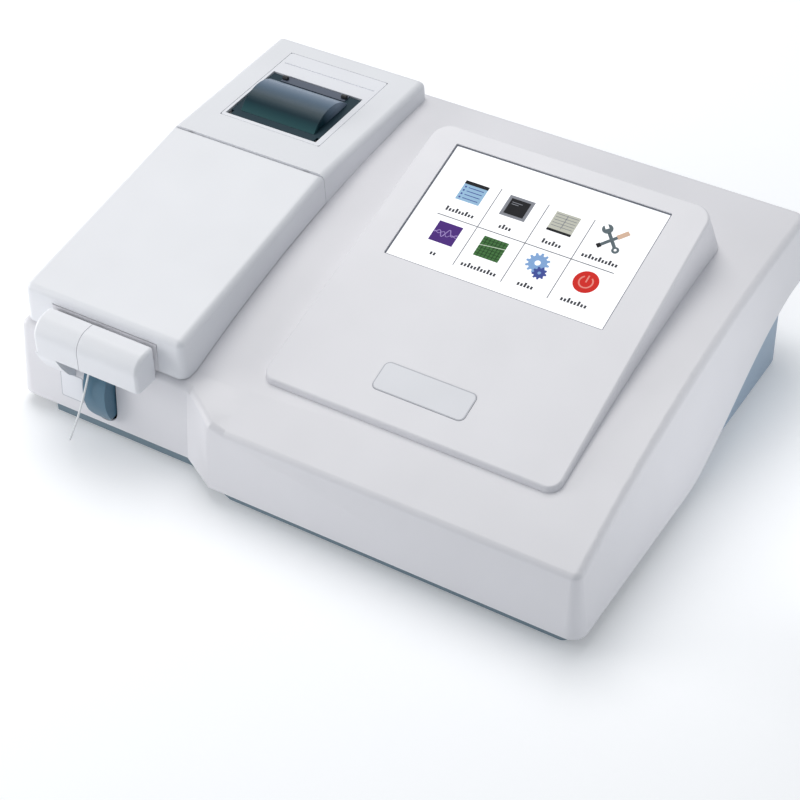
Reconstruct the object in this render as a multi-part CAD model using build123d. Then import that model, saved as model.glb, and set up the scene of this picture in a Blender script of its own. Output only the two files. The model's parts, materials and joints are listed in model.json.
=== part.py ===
from build123d import *
import math
import os

os.makedirs("parts", exist_ok=True)

# Benchtop chemistry analyzer: a casing on a tray chassis, a covered measuring bay
# with a strip printer behind it, and a raised console with a touch screen.
# Millimetres. X to the right, Y to the back, Z up from the bench. Lengths called
# "back" are measured backwards from the front lower edge of the casing.

# ---- driving sizes: fits and clearances ----
running_gap = 0.05
press_gap = 0.02
part_gap = 0.3
cut_gap = 0.2
side_gap = 0.5
seat = 0.05
through = 1.0
margin = 12.0

# ---- driving sizes: casing and chassis ----
casing_width = 420.0
casing_depth = 330.0
casing_wall = 2.5
casing_draft = 5.2
casing_edge = 5.0
past_knee = 3.0
past_chamfer = 12.0
casing_front_corner = 10.0
casing_rear_corner = 17.0
ledge_height = 66.0
crown_rise = 38.4
crown_drop = 49.2
crown_power = 2.2
bay_set_back = 15.4
chamfer_offset = 1.6
chamfer_width = 27.0
chamfer_reach = 25.0
sweep_length = 167.0
sweep_rear = 20.0
sweep_height = 48.8
sweep_power = 0.85
sweep_cover = 5.0
sweep_lead = 18.0
rear_overhang = 28.0
rear_bulge = 2.8

foot_height = 4.0
foot_radius = 9.0
foot_inset = 38.0
foot_chamfer = 1.0
chassis_lip = 5.6
chassis_floor = 2.5
chassis_inset = 9.0
chassis_wall = 3.0
chassis_front = 2.6
chassis_bay_front = 16.0
chassis_cut = 21.0
chassis_corner = 12.0
chassis_chamfer_start = 2.0
chassis_chamfer_end = 14.0
rear_panel_rise = 30.0
skirt_gap = 0.4

screw_radius = 1.4
screw_play = 0.3
screw_reach = 13.0
screw_head = 1.6
driver_slot = 1.0
post_radius = 3.0
post_side = 15.5
post_right_side = 20.0
post_middle = 15.2
post_bay_front = 60.0
post_front = 30.0
post_rear = 45.0
post_middle_rear = 40.0
printer_hole = 6.0
printer_hole_rear = 9.0
cable_hole_left = 40.0
cable_hole_right = 30.0
cable_hole_front = 120.0
cable_hole_back = 230.0
slot_clear = 10.0
riser_foot = 1.0

# ---- driving sizes: tower ----
tower_side = 8.4
tower_width = 124.4
tower_set_back = 8.0
tower_rear = 10.2
tower_draft = 2.66
tower_rise = 14.3
tower_edge = 5.0
tower_corner = 6.0
tower_wall = 2.5
tower_skirt = 3.0
seam_gap = 0.4
lid_slope = 8.6
lid_gap = 0.6
lid_hinge_radius = 2.6
lid_boss_radius = 2.2
lid_boss_foot = 3.0
lid_pin_radius = 0.8
hinge_eye = 1.7
hinge_shoulder = 7.0
hinge_foot = 14.7
boss_length = 5.0
lid_post_width = 4.0
lid_post_inset = 14.0
lid_post_reach = 6.0
lid_post_drop = 24.0

# ---- driving sizes: console ----
console_width = 206.5
console_front = 45.5
console_draft = 3.5
console_tilt = 16.75
console_front_rise = 7.3
console_rear = 73.0
console_rear_run = 15.0
console_wall = 2.5
console_front_corner = 9.0
console_rear_corner = 13.0
console_edge = 1.8
console_sink = 6.0

screen_width = 154.1
screen_height = 96.0
screen_offset = 1.9
screen_from_ridge = 58.4
screen_border = 6.0
screen_frame = 3.0
screen_recess = 1.3
screen_corner = 1.0
glass_thickness = 1.8
glass_seat = 1.2
display_thickness = 5.5
display_side = 3.0
display_end = 2.0
connector_width = 40.0
connector_height = 7.0
connector_rise = 5.0
connector_depth = 1.9
stud_radius = 3.0
stud_inset = 12.0
stud_past = 1.0
brace_sheet = 1.5
brace_bar = 12.0
brace_end_bar = 14.0
brace_side = 4.0
brace_end = 5.0
brace_pad = 6.0
badge_width = 64.0
badge_height = 21.0
badge_offset = 2.9
badge_front = 29.0
badge_thickness = 1.0
badge_pocket = 0.7
badge_corner = 4.0
badge_gap = 0.15

# ---- driving sizes: sampling hood, slot and paddle ----
hood_inset = 23.6
hood_width = 80.7
hood_base_width = 34.6
hood_depth = 20.0
hood_lid_gap = 1.4
hood_drop = 3.0
hood_height = 24.2
hood_round = 12.0
hood_end_edge = 2.8
hood_wall = 2.0
hood_hinge_radius = 2.4
hood_eye = 1.4
hood_pin_radius = 0.6
hood_arm_width = 3.0
hood_arm_left = 4.0
hood_arm_right = 10.0
hood_arm_gap = 0.4
hood_fairing = 25.0
hood_fairing_width = 16.0
hood_fairing_round = 20.0
spine_depth = 2.7
spine_inset = 5.0
riser_gap = 0.4
riser_inset = 0.3
riser_drop = 0.5
riser_room = 8.0

slot_inset = 29.0
slot_width = 19.0
slot_rise = 3.0
slot_drop = 4.5
paddle_gap = 0.9
paddle_bulge = 9.0
paddle_wall = 2.0
paddle_thickness = 3.0
paddle_top_gap = 1.1
paddle_low_gap = 1.7
paddle_pivot_depth = 11.6
paddle_pivot_drop = 4.5
paddle_pin_radius = 1.5
tab_width = 3.0
tab_round = 3.4
bracket_sheet = 2.0
bracket_gap = 2.5
bracket_front_reach = 3.5
bracket_foot = 12.0
plunger_height = 17.5
plunger_radius = 2.0
plunger_travel = 1.2
switch_box_width = 13.0
switch_box_depth = 8.0
switch_box_height = 10.0
coil_radius = 2.6
coil_wire = 0.4
coil_pitch = 1.25
coil_length = 8.0
coil_leg = 13.0

sipper_radius = 0.7
sipper_offset = 2.4
sipper_set_back = 8.0
sipper_sink = 0.1
fitting_radius = 2.18
fitting_collar_radius = 2.4
fitting_below = 3.5
fitting_above = 8.0
fitting_block = 5.0
fitting_block_height = 4.0

# ---- driving sizes: strip printer ----
printer_inset = 22.1
printer_width = 79.0
printer_start = 26.3
printer_length = 87.0
printer_rear = 18.5
window_left_inset = 2.2
window_right_inset = 4.4
window_start = 3.0
window_length = 58.5
panel_gap = 0.3
panel_lip = 3.0
panel_corner = 2.0
panel_flange = 2.0
groove_step = 12.2
groove_width = 0.8
groove_depth = 0.6
groove_inset = 3.0
cover_recess = 1.1
cover_thickness = 2.0
cover_gap = 0.5
cover_front_gap = 1.4
cover_hinge_step = 3.7
cover_hinge_drop = 3.5
cover_pin_radius = 0.8
lug_radius = 1.7
lug_gap = 0.4
knuckle = 6.0
dome_step = 28.9
dome_radius = 28.0
dome_rise = 9.5
dome_inset = 6.8
dome_width = 59.0
dome_wall = 1.8
dome_seat = 2.5
roll_width = 57.0
roll_radius = 22.0
roll_core_radius = 6.2
roll_step = 25.7
roll_drop = 23.7
spindle_radius = 2.5
spindle_end = 1.0
journal = 2.0
cradle_wall = 2.2
cradle_front_gap = 0.9
cradle_rear_gap = 2.0
cradle_rim = 2.0
cradle_rim_front = 4.0
cradle_rim_back = 6.0
platen_radius = 4.5
platen_shaft_radius = 1.5
platen_step = 49.5
platen_drop = 8.1
platen_ear = 2.2
platen_ear_radius = 3.0
platen_play = 0.6
tear_inset = 3.5
tear_step = 1.2
tear_height = 0.6
head_height = 10.0
head_drop = 5.7

# ---- driving sizes: measuring bay and pump ----
bay_left_inset = 11.6
bay_right_inset = 9.8
bay_front_gap = 9.6
bay_rear_gap = 10.0
bay_depth = 22.0
bay_wall = 2.0
leg_radius = 4.0
leg_inset = 10.0
leg_front = 17.0
leg_rear = 13.0

beam_inset = 40.0
beam_rise = 14.0
beam_hole = 2.5
tray_hole = 4.0
cell_rear = 17.0
cell_half = 5.0
cell_play = 0.1
cell_bore = 2.2
cell_seat = 3.0
cell_rise = 17.0
holder_half_width = 15.0
holder_half_depth = 11.0
holder_rise = 10.0
detector_half_width = 14.0
detector_rise = 12.0
sensor_half = 4.0
sensor_depth = 3.0

pump_inset = 25.0
pump_step = 59.0
pump_half = 20.0
pump_tube_radius = 1.5
pump_tube_reach = 26.0
pump_roller_radius = 3.2
pump_roller_orbit = 8.4
pump_roller_count = 3
pump_roller_axle = 1.2
pump_roller_gap = 0.4
pump_rotor_rise = 4.0
pump_rotor_height = 12.0
pump_rotor_rim = 2.2
pump_core_radius = 3.6
pump_cheek = 1.5
pump_motor_length = 28.0
motor_radius = 13.0
motor_length = 18.0
motor_shaft_radius = 2.0
shaft_grip = 7.0
shaft_play = 0.5

# ---- driving sizes: optics ----
bench_gap = 1.0
bench_length = 57.0
bench_side = 22.0
bench_plate = 3.0
bench_drop = 6.0
bench_leg_inset = 5.0
bench_leg_front = 8.0
bench_leg_rear = 6.0
lens_radius = 6.0
lens_thickness = 3.0
lens_plate_side = 12.0
lens_plate_rise = 12.0
wheel_offset = 24.0
wheel_radius = 32.0
wheel_thickness = 4.0
wheel_hub_radius = 6.0
wheel_hub_front = 3.0
wheel_hub_back = 1.0
wheel_step = 8.5
wheel_plate_gap = 2.0
wheel_plate = 2.5
wheel_plate_half = 18.0
filter_radius = 5.0
filter_sink = 0.5
filter_count = 8
lamp_gap = 1.5
lamp_left_side = 20.0
lamp_right_side = 10.0
lamp_box_rise = 8.5
lamp_wall = 2.0
lamp_step = 20.0
lamp_bulb_radius = 5.5
lamp_stem_radius = 4.0
lamp_base_half = 7.0
lamp_base_height = 15.0
fin_count = 5
fin_pitch = 7.0
fin_sheet = 2.0
fin_depth = 4.0
fin_start = 6.0
fin_drop = 3.5

# ---- driving sizes: electronics ----
board_thickness = 1.6
board_height = 14.0
board_left_inset = 1.8
board_width = 185.0
board_front = 60.0
board_rear = 140.0
standoff_radius = 2.5
standoff_inset = 5.0
chip_large = 35.0
chip_small = 24.0
chip_height = 3.0
plug_width = 30.0
plug_depth = 6.0
plug_height = 9.0
capacitor_count = 4
capacitor_radius = 4.0
capacitor_pitch = 11.0
capacitor_height = 16.0
supply_side = 25.0
supply_width = 115.0
supply_depth = 65.0
supply_rear = 65.0
supply_top = 48.0
vent_count = 9
vent_pitch = 11.0
vent_width = 3.0
vent_inset = 10.0
vent_depth = 1.5
io_depth = 30.0
io_left = 14.0
io_right = 22.0
io_height = 16.0

# ---- driving sizes: rear panel ----
inlet_side = 60.0
switch_step = 38.0
serial_step = 78.0
socket_step = 114.0
fan_step = 180.0
drain_step = 250.0
rear_row_height = 32.0
flange_depth = 1.2
inlet_width = 27.4
inlet_height = 19.8
inlet_flange = 2.0
inlet_reach = 22.0
well_half_width = 12.0
well_half_height = 8.0
well_depth = 17.0
blade_pin_spread = 7.0
blade_pin_rise = 2.5
blade_pin_fall = 1.5
blade_pin_reach = 13.0
switch_width = 21.0
switch_height = 15.0
switch_flange = 1.5
switch_reach = 16.0
switch_well = 8.0
rocker_half_width = 7.5
rocker_half_height = 5.8
rocker_play = 0.4
rocker_room = 0.7
rocker_depth = 4.5
rocker_pin_radius = 1.0
rocker_tail = 2.5
rocker_tail_half = 4.3
rocker_reach = 6.2
rocker_hollow = 1.0
rocker_end_half = 5.2
rocker_tilt = 8.0
serial_width = 31.0
serial_height = 12.6
serial_reach = 12.0
serial_sink = 0.5
plug_shell_half_width = 9.0
plug_shell_half_height = 4.2
plug_shell_wall = 0.8
plug_shell_reach = 5.5
contact_pitch = 2.75
contact_row = 1.4
contact_radius = 0.5
contact_reach = 4.0
long_row_count = 5
nut_spread = 12.5
nut_radius = 2.4
nut_reach = 4.5
socket_width = 12.2
socket_height = 11.2
socket_reach = 14.0
socket_half_width = 4.5
socket_half_height = 4.0
socket_depth = 9.0
tongue_half_width = 3.0
tongue_half_height = 1.5
fan_size = 40.0
fan_lift = 4.0
fan_depth = 10.0
fan_rim = 1.2
fan_hub = 9.0
fan_axle_radius = 1.5
strut_count = 3
strut_width = 3.0
strut_depth = 2.0
hub_gap = 0.6
blade_count = 7
blade_twist = 35.0
blade_width = 8.0
blade_sheet = 1.2
guard_wire = 0.8
guard_ring_count = 3
guard_ring_step = 5.0
guard_inner_ring = 6.0
spoke_count = 4
drain_radius = 3.0
drain_bore = 1.8
drain_reach = 12.0
drain_tail = 6.0
drain_flange = 2.5
drain_nut = 2.0
drain_nut_depth = 3.0
drain_ridge = 0.7
drain_ridge_count = 2
drain_ridge_pitch = 3.0
drain_ridge_start = 8.0

# ---- sizes that follow: casing and chassis ----
draft_run = math.tan(math.radians(casing_draft))
casing_half = casing_width / 2
casing_rear = casing_depth + rear_bulge
overall_depth = round(casing_rear - draft_run * sweep_height, 2)
front_y = -overall_depth / 2
reach = casing_half + margin
crown_height = ledge_height + crown_rise
tower_left = tower_side - casing_half
tower_right = tower_left + tower_width
chamfer_start_x = tower_right + chamfer_offset
chamfer_end_x = chamfer_start_x + chamfer_width
sweep_end = casing_depth - sweep_rear
sweep_start = sweep_end - sweep_length
floor_top = foot_height + chassis_floor
lip_top = foot_height + chassis_lip
skirt_height = lip_top + skirt_gap
rear_panel_top = ledge_height + rear_panel_rise
ledge_back = casing_depth * (1 - (crown_rise / crown_drop) ** (1 / crown_power))
chamfer_angle = math.atan2(bay_set_back, chamfer_width)
knee_shift = draft_run * (ledge_height - skirt_height) * math.tan(chamfer_angle / 2)
knee_x = chamfer_start_x + knee_shift + past_knee
crease_x = chamfer_end_x + past_chamfer
chassis_side = casing_half - chassis_inset
chassis_back = casing_depth - rear_overhang
panel_front = chassis_back - chassis_wall

# ---- sizes that follow: tower and printer ----
tower_front = bay_set_back + tower_set_back
tower_back = casing_depth - tower_rear
tower_height = crown_height + tower_rise
housing_length = printer_start + printer_length + printer_rear
seam_back = tower_back - housing_length
lid_run = math.tan(math.radians(lid_slope))
housing_front = seam_back + seam_gap / 2
lid_back = seam_back - seam_gap / 2
lid_axis_back = lid_back - lid_hinge_radius
lid_axis_drop = lid_run * (seam_back - lid_axis_back) + lid_hinge_radius / math.cos(math.radians(lid_slope))
lid_axis_z = tower_height - lid_axis_drop
printer_left = tower_left + printer_inset
printer_right = printer_left + printer_width
printer_front = seam_back + printer_start
printer_back = printer_front + printer_length
window_left = printer_left + window_left_inset
window_right = printer_right - window_right_inset
window_front = printer_front + window_start
window_back = window_front + window_length
groove_back = window_back + groove_step
frame_z = tower_height - tower_wall
cover_hinge_back = window_front + cover_hinge_step
cover_top = tower_height - cover_recess
cover_low = cover_top - cover_thickness
cover_front = window_front + cover_front_gap
cover_left = window_left + cover_gap
cover_right = window_right - cover_gap
cover_axis = (cover_hinge_back, tower_height - cover_hinge_drop)
cover_swing = math.hypot(cover_hinge_back - cover_front, cover_top - cover_axis[1])
dome_centre_back = window_front + dome_step
dome_left = window_left + dome_inset
dome_right = dome_left + dome_width
roll_centre_back = window_front + roll_step
roll_centre_height = tower_height - roll_drop
roll_centre = (roll_centre_back, roll_centre_height)
platen = (window_front + platen_step, tower_height - platen_drop)
cradle_front = window_front + cradle_front_gap
cradle_back = window_back - cradle_rear_gap
cradle_left = window_left + part_gap + cradle_wall
cradle_right = window_right - part_gap - cradle_wall
cradle_round = roll_centre_back - cradle_front

# ---- sizes that follow: console ----
console_centre = (tower_right + casing_half) / 2
console_left = console_centre - console_width / 2
console_right = console_centre + console_width / 2
console_front_height = ledge_height + console_front_rise
console_ridge = casing_depth - console_rear
console_rear_foot = console_ridge + console_rear_run
screen_centre_x = console_centre - screen_offset
screen_centre_back = console_ridge - screen_from_ridge
slope = math.radians(console_tilt)
tilt_run = math.tan(slope)
badge_x = screen_offset - badge_offset
badge_v = (console_front + badge_front - screen_centre_back) / math.cos(slope)

# ---- sizes that follow: sampling front ----
hood_left = tower_left + hood_inset
hood_right = hood_left + hood_width
hood_split = hood_left + hood_base_width
hood_back = tower_front - hood_lid_gap
hood_front = hood_back - hood_depth
hood_bottom = ledge_height - hood_drop
hood_top = hood_bottom + hood_height
hood_rear = hood_back - cut_gap
hood_axis_back = hood_rear - hood_hinge_radius
hood_axis_z = hood_top - hood_hinge_radius
riser_left = hood_left + riser_inset
riser_right = hood_right - riser_inset
riser_front = tower_front + riser_gap
riser_top = hood_top - riser_drop
slot_left = hood_left + slot_inset
slot_right = slot_left + slot_width
slot_bottom = skirt_height + slot_rise
slot_top = ledge_height - slot_drop
pivot = (bay_set_back + paddle_pivot_depth, slot_top - paddle_pivot_drop)
sipper_exit_x = hood_split + sipper_offset
sipper_exit_back = hood_front + sipper_set_back

# ---- sizes that follow: measuring bay and optics ----
bay_left = tower_left + bay_left_inset
bay_right = tower_right - bay_right_inset
bay_front = tower_front + bay_front_gap
bay_back = seam_back - bay_rear_gap
bay_floor = ledge_height - bay_depth
tray_top = bay_floor + bay_wall
beam_x = bay_left + beam_inset
beam_height = bay_floor + beam_rise
pump_x = bay_right - pump_inset
pump_back = bay_front + pump_step
pump_rotor_bottom = bay_floor + pump_rotor_rise
cell_back = bay_back - cell_rear
wheel_x = beam_x + wheel_offset
wheel_front = bay_back + wheel_step

# ---- sizes that follow: electronics and rear panel ----
board_left = console_left + board_left_inset
board_right = board_left + board_width
board_back = casing_depth - board_rear
board_top = board_height + board_thickness
inlet_x = casing_half - inlet_side
switch_x = inlet_x - switch_step
serial_x = inlet_x - serial_step
socket_x = inlet_x - socket_step
fan_x = inlet_x - fan_step
drain_x = inlet_x - drain_step


# ---- helpers ----
def block(x0, x1, back0, back1, z0, z1):
    """Box between two corners."""
    centre = ((x0 + x1) / 2, front_y + (back0 + back1) / 2, (z0 + z1) / 2)
    return Pos(*centre) * Box(x1 - x0, back1 - back0, z1 - z0)


def rod_x(x0, x1, back, z, radius):
    """Round bar along X."""
    return Pos((x0 + x1) / 2, front_y + back, z) * Rot(0, 90, 0) * Cylinder(radius, x1 - x0)


def rod_y(x, back0, back1, z, radius):
    """Round bar along Y."""
    return Pos(x, front_y + (back0 + back1) / 2, z) * Rot(90, 0, 0) * Cylinder(radius, back1 - back0)


def rod_z(x, back, z0, z1, radius):
    """Round bar along Z."""
    return Pos(x, front_y + back, (z0 + z1) / 2) * Cylinder(radius, z1 - z0)


def rounded(points, radii):
    """Flat outline with its corners rounded, one radius for each point."""
    face = make_face(Polyline(*points, close=True))
    for (across, along), radius in zip(points, radii):
        if radius:
            corner = min(face.vertices(), key=lambda spot: math.hypot(spot.X - across, spot.Y - along))
            face = fillet(corner, radius)
    return face


def side_plate(x0, x1, face):
    """Plate with a (back, z) outline, from x0 to x1."""
    frame = Plane(origin=(x0, front_y, 0), x_dir=(0, 1, 0), z_dir=(1, 0, 0))
    return extrude(frame * face, amount=x1 - x0)


def tapered(outline, radii, z0, height, draft, inset=0.0):
    """Upright body on an outline of (x, back) points, leaning inwards by the draft."""
    face = make_face(Polyline(*outline, close=True))
    if inset:
        face = offset(face, -inset, kind=Kind.INTERSECTION)
    for (x, back), radius in zip(outline, radii):
        if radius > inset:
            corner = min(face.vertices(), key=lambda spot: math.hypot(spot.X - x, spot.Y - back))
            face = fillet(corner, radius - inset)
    return extrude(Pos(0, front_y, z0) * face, amount=height, taper=draft)


def hinge_post(x0, x1, axis_back, axis_z, radius, foot_back, foot_z):
    """Upright arm below a hinge line, joined to what stands behind it."""
    shoulder = axis_z - hinge_shoulder
    points = [
        (axis_back - radius, axis_z),
        (axis_back - radius, foot_z),
        (foot_back, foot_z),
        (foot_back, shoulder),
        (axis_back + radius, shoulder + hinge_shoulder * 0.4),
        (axis_back + radius, axis_z),
    ]
    arm = side_plate(x0, x1, make_face(Polyline(*points, close=True)))
    return arm + rod_x(x0, x1, axis_back, axis_z, radius)


def save(name, shape):
    """Writes one node."""
    solids = shape.solids()
    export_step(solids[0] if len(solids) == 1 else Compound(children=list(solids)), f"parts/{name}.step")


def near_z(edges, z, gap=0.01):
    """Edges whose middle lies at height z."""
    return [edge for edge in edges if abs((edge @ 0.5).Z - z) < gap]


# ---- casing ----
def crown(back):
    """Height of the casing's top at a distance behind its front edge."""
    return crown_height - crown_drop * max(0.0, 1 - back / casing_depth) ** crown_power


def crown_slope(back):
    """Rise of the casing's top per millimetre."""
    share = max(0.0, 1 - back / casing_depth)
    return crown_drop * crown_power / casing_depth * share ** (crown_power - 1)


def crown_section(x, over_bay, drop):
    """Upright section of the space under the casing's top. Over the bay the front is a level ledge."""
    near, far, low = -margin, casing_depth + margin, -margin
    near_top = ledge_height if over_bay else crown(near)
    knee = (ledge_back, ledge_height - drop)
    start = (near, near_top - drop)
    end = (casing_depth, crown_height - drop)
    knee_slope = (1, crown_slope(ledge_back))
    if over_bay:
        front = Line(start, knee)
    else:
        half = ledge_back / 2
        front = Spline(start, (half, crown(half) - drop), knee, tangents=((1, crown_slope(near)), knee_slope))
    stations = [ledge_back + (casing_depth - ledge_back) * share / 6 for share in range(1, 6)]
    middle = [(back, crown(back) - drop) for back in stations]
    rise = Spline(knee, *middle, end, tangents=(knee_slope, (1, 0)))
    rest = Polyline(end, (far, end[1]), (far, low), (near, low), start)
    frame = Plane(origin=(x, front_y, 0), x_dir=(0, 1, 0), z_dir=(1, 0, 0))
    return frame * make_face([front, rise, *rest.edges()])


def under_crown(drop):
    """All that lies below the casing's top, lowered by drop."""
    stations = ((-reach, True), (knee_x, True), (crease_x, False), (reach, False))
    return loft([crown_section(x, over_bay, drop) for x, over_bay in stations], ruled=True)


chamfer_run = bay_set_back / chamfer_width
bay_outline = [
    (-casing_half, bay_set_back),
    (casing_half / 2, bay_set_back),
    (casing_half / 2, casing_rear),
    (-casing_half, casing_rear),
]
bay_corners = [casing_front_corner, 0, 0, casing_rear_corner]
nose_outline = [
    (chamfer_start_x - chamfer_reach, bay_set_back + chamfer_reach * chamfer_run),
    (chamfer_end_x, 0),
    (casing_half, 0),
    (casing_half, casing_rear),
    (chamfer_start_x - chamfer_reach, casing_rear),
]
nose_corners = [0, 0, casing_front_corner, casing_rear_corner, 0]


def casing_body(inset, drop):
    """Solid casing, drawn in by inset at its sides and by drop at its top."""
    height = crown_height + margin
    body = tapered(bay_outline, bay_corners, skirt_height, height, casing_draft, inset)
    body += tapered(nose_outline, nose_corners, skirt_height, height, casing_draft, inset)
    return body & under_crown(drop)


def rounded_slice(body, x0, x1, radius):
    """Part of the casing between two upright cuts, with its top edge rounded."""
    piece = body & block(x0, x1, -margin, casing_depth + 2 * margin, 0, 2 * crown_height)
    top_edges = [edge for face in piece.faces() if face.normal_at().Z > 0.5 for edge in face.edges()]
    middles = [tuple(round(value, 3) for value in (edge @ 0.5)) for edge in top_edges]
    rim = []
    for edge, middle in zip(top_edges, middles):
        level = abs((edge @ 0).X - (edge @ 1).X) < 0.001
        on_cut = level and min(abs(middle[0] - x0), abs(middle[0] - x1)) < 0.001
        if middles.count(middle) == 1 and not on_cut:
            rim.append(edge)
    return fillet(rim, radius)


def sweep_line(back):
    """Height of the casing's lower side edge, which rises towards the back."""
    share = min(1.0, max(0.0, (back - sweep_start) / (sweep_end - sweep_start))) ** sweep_power
    return skirt_height + sweep_height * share * share * (3 - 2 * share)


def below_sweep(lift, x0, x1, back0, back1, z0):
    """What lies below the lower side edge raised by lift."""
    stations = [sweep_start + (sweep_end - sweep_start) * share / 8 for share in range(9)]
    rise = Spline(*[(back, sweep_line(back) + lift) for back in stations], tangents=((1, 0), (1, 0)))
    first, last = (sweep_start, skirt_height + lift), (sweep_end, skirt_height + sweep_height + lift)
    rest = Polyline(last, (back1, last[1]), (back1, z0), (back0, z0), (back0, first[1]), first)
    return side_plate(x0, x1, make_face([rise, *rest.edges()]))


whole = casing_body(0, 0)
casing_outer = rounded_slice(whole, crease_x, reach, casing_edge)
casing_outer += rounded_slice(whole, knee_x, crease_x, casing_edge)
casing_outer += rounded_slice(whole, -reach, knee_x, casing_edge)
upper_shell = casing_outer - casing_body(casing_wall, casing_wall)
upper_shell -= below_sweep(0, -reach, reach, sweep_start - 5, casing_depth + margin, 0)

# ---- what opens the casing ----
def slot_shape(x0, x1, z0, z1, back0, back1):
    """Upright opening with a half-round bottom, cut from front to back."""
    half = (x1 - x0) / 2
    return block(x0, x1, back0, back1, z0 + half, z1) + rod_y((x0 + x1) / 2, back0, back1, z0 + half, half)


above = crown_height + margin
below = hood_bottom - hood_drop
upper_shell -= block(
    bay_left - part_gap, bay_right + part_gap, bay_front - part_gap, bay_back + part_gap, below, above)
upper_shell -= block(
    cradle_left - printer_hole, cradle_right + printer_hole,
    cradle_front - printer_hole, cradle_back + printer_hole_rear, below, above)
upper_shell -= block(
    board_left + cable_hole_left, board_right - cable_hole_right,
    cable_hole_front, cable_hole_back, below, above)
upper_shell -= slot_shape(
    slot_left, slot_right, slot_bottom, slot_top, bay_set_back - slot_clear, bay_set_back + slot_clear)
riser = block(
    riser_left, riser_right, riser_front, riser_front + casing_wall, ledge_height - riser_foot, riser_top)
upper_shell += riser
post_places = [
    (post_side - casing_half, post_bay_front),
    (post_side - casing_half, casing_depth - post_rear),
    (tower_right + post_middle, post_front),
    (tower_right + post_middle, casing_depth - post_middle_rear),
    (casing_half - post_right_side, post_front),
    (casing_half - post_right_side, casing_depth - post_rear),
]
for x, back in post_places:
    post_top = crown(back) - casing_wall / 2
    if x < chamfer_end_x:
        post_top = max(crown(back), ledge_height) - casing_wall / 2
    upper_shell += rod_z(x, back, floor_top, post_top, post_radius)
    upper_shell -= rod_z(x, back, 0, floor_top + screw_reach + through, screw_radius)
save("upper_shell", upper_shell)

# ---- chassis ----
tray_outline = [
    (-chassis_side, chassis_bay_front + chassis_cut),
    (-chassis_side + chassis_cut, chassis_bay_front),
    (chamfer_start_x + chassis_chamfer_start, chassis_bay_front),
    (chamfer_end_x + chassis_chamfer_end, chassis_front),
    (chassis_side, chassis_front),
    (chassis_side, chassis_back),
    (-chassis_side, chassis_back),
]
tray_corners = [0, 0, 0, 0, chassis_corner / 2, chassis_corner, chassis_corner]
tray = tapered(tray_outline, tray_corners, foot_height, rear_panel_top - foot_height, 0)
tray -= tapered(tray_outline, tray_corners, floor_top, rear_panel_top, 0, chassis_wall)
beyond = chassis_back + margin
kept = block(-reach, reach, -margin, beyond, 0, lip_top)
kept += below_sweep(sweep_cover, -reach, reach, sweep_start - sweep_lead, beyond, foot_height / 2)
panel_half = chassis_side - chassis_corner
kept += block(
    -panel_half, panel_half, panel_front - side_gap, beyond, foot_height / 2, rear_panel_top + margin)
base_chassis = tray & kept
serial_z = io_height + serial_height / 2
socket_z = io_height + socket_height / 2
rear_openings = [
    (inlet_x, rear_row_height, inlet_width, inlet_height),
    (switch_x, rear_row_height, switch_width, switch_height),
    (serial_x, serial_z, serial_width, serial_height),
    (socket_x, socket_z, socket_width, socket_height),
]
for x, z, wide, tall in rear_openings:
    half_wide, half_tall = wide / 2 + cut_gap, tall / 2 + cut_gap
    base_chassis -= block(
        x - half_wide, x + half_wide, panel_front - through, chassis_back + through,
        z - half_tall, z + half_tall)
fan_z = rear_row_height + fan_lift
fan_half = fan_size / 2
base_chassis -= rod_y(fan_x, panel_front - through, chassis_back + through, fan_z, fan_half - fan_rim)
base_chassis -= rod_y(
    drain_x, panel_front - through, chassis_back + through, rear_row_height, drain_radius + cut_gap)
for x, back in post_places:
    base_chassis -= rod_z(x, back, 0, floor_top + through, screw_radius + screw_play)
save("base_chassis", base_chassis)

feet = []
for x in (-chassis_side + foot_inset, chassis_side - foot_inset):
    for back in (chassis_bay_front + foot_inset, chassis_back - foot_inset):
        foot = rod_z(x, back, 0, foot_height, foot_radius)
        feet.append(chamfer(near_z(foot.edges(), 0), foot_chamfer))
save("rubber_feet", Compound(children=feet))

screws = []
head_low = foot_height - screw_head
for x, back in post_places:
    head = rod_z(x, back, head_low, foot_height, screw_radius * 2)
    shank = rod_z(x, back, head_low, floor_top + screw_reach, screw_radius - running_gap)
    driver = Pos(x, front_y + back, head_low) * Box(driver_slot, screw_radius * 2.5, screw_head)
    screws.append(head + shank - driver)
save("shell_screws", Compound(children=screws))

# ---- tower: printer housing behind the seam, lid in front of it ----
tower_outline = [
    (tower_left, tower_front),
    (tower_right, tower_front),
    (tower_right, tower_back),
    (tower_left, tower_back),
]
tower_corners = [tower_corner] * 4


def tower_profile(back0, back1, drop):
    """Side view of the tower between two upright planes: level at the back, sloping at the front."""
    top = tower_height - drop
    points = [(back0, 0), (back1, 0), (back1, top)]
    if back1 > seam_back:
        points.append((seam_back, top))
    if back0 < seam_back:
        points.append((back0, top - lid_run * (seam_back - back0)))
        if back1 <= seam_back:
            points[2] = (back1, top - lid_run * (seam_back - back1))
    else:
        points[-1] = (back0, top)
    return make_face(Polyline(*points, close=True))


def tower_body(back0, back1, inset, drop, rise):
    """Solid tower between two upright planes, standing above the casing by rise."""
    body = tapered(tower_outline, tower_corners, ledge_height, tower_height, tower_draft, inset)
    body &= side_plate(tower_left - 1, tower_right + 1, tower_profile(back0, back1, drop))
    return body - under_crown(-rise)


def round_rim(body, radius, plain_back):
    """Rounds the upper rim of a tower part, leaving the edge at the seam."""
    rim = []
    for face in body.faces():
        if face.normal_at().Z > 0.9 and face.center().Z > crown_height - margin and face.area > 2000:
            for edge in face.edges():
                if abs((edge @ 0.5).Y - front_y - plain_back) > 0.5:
                    rim.append(edge)
    return fillet(rim, radius)


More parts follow.
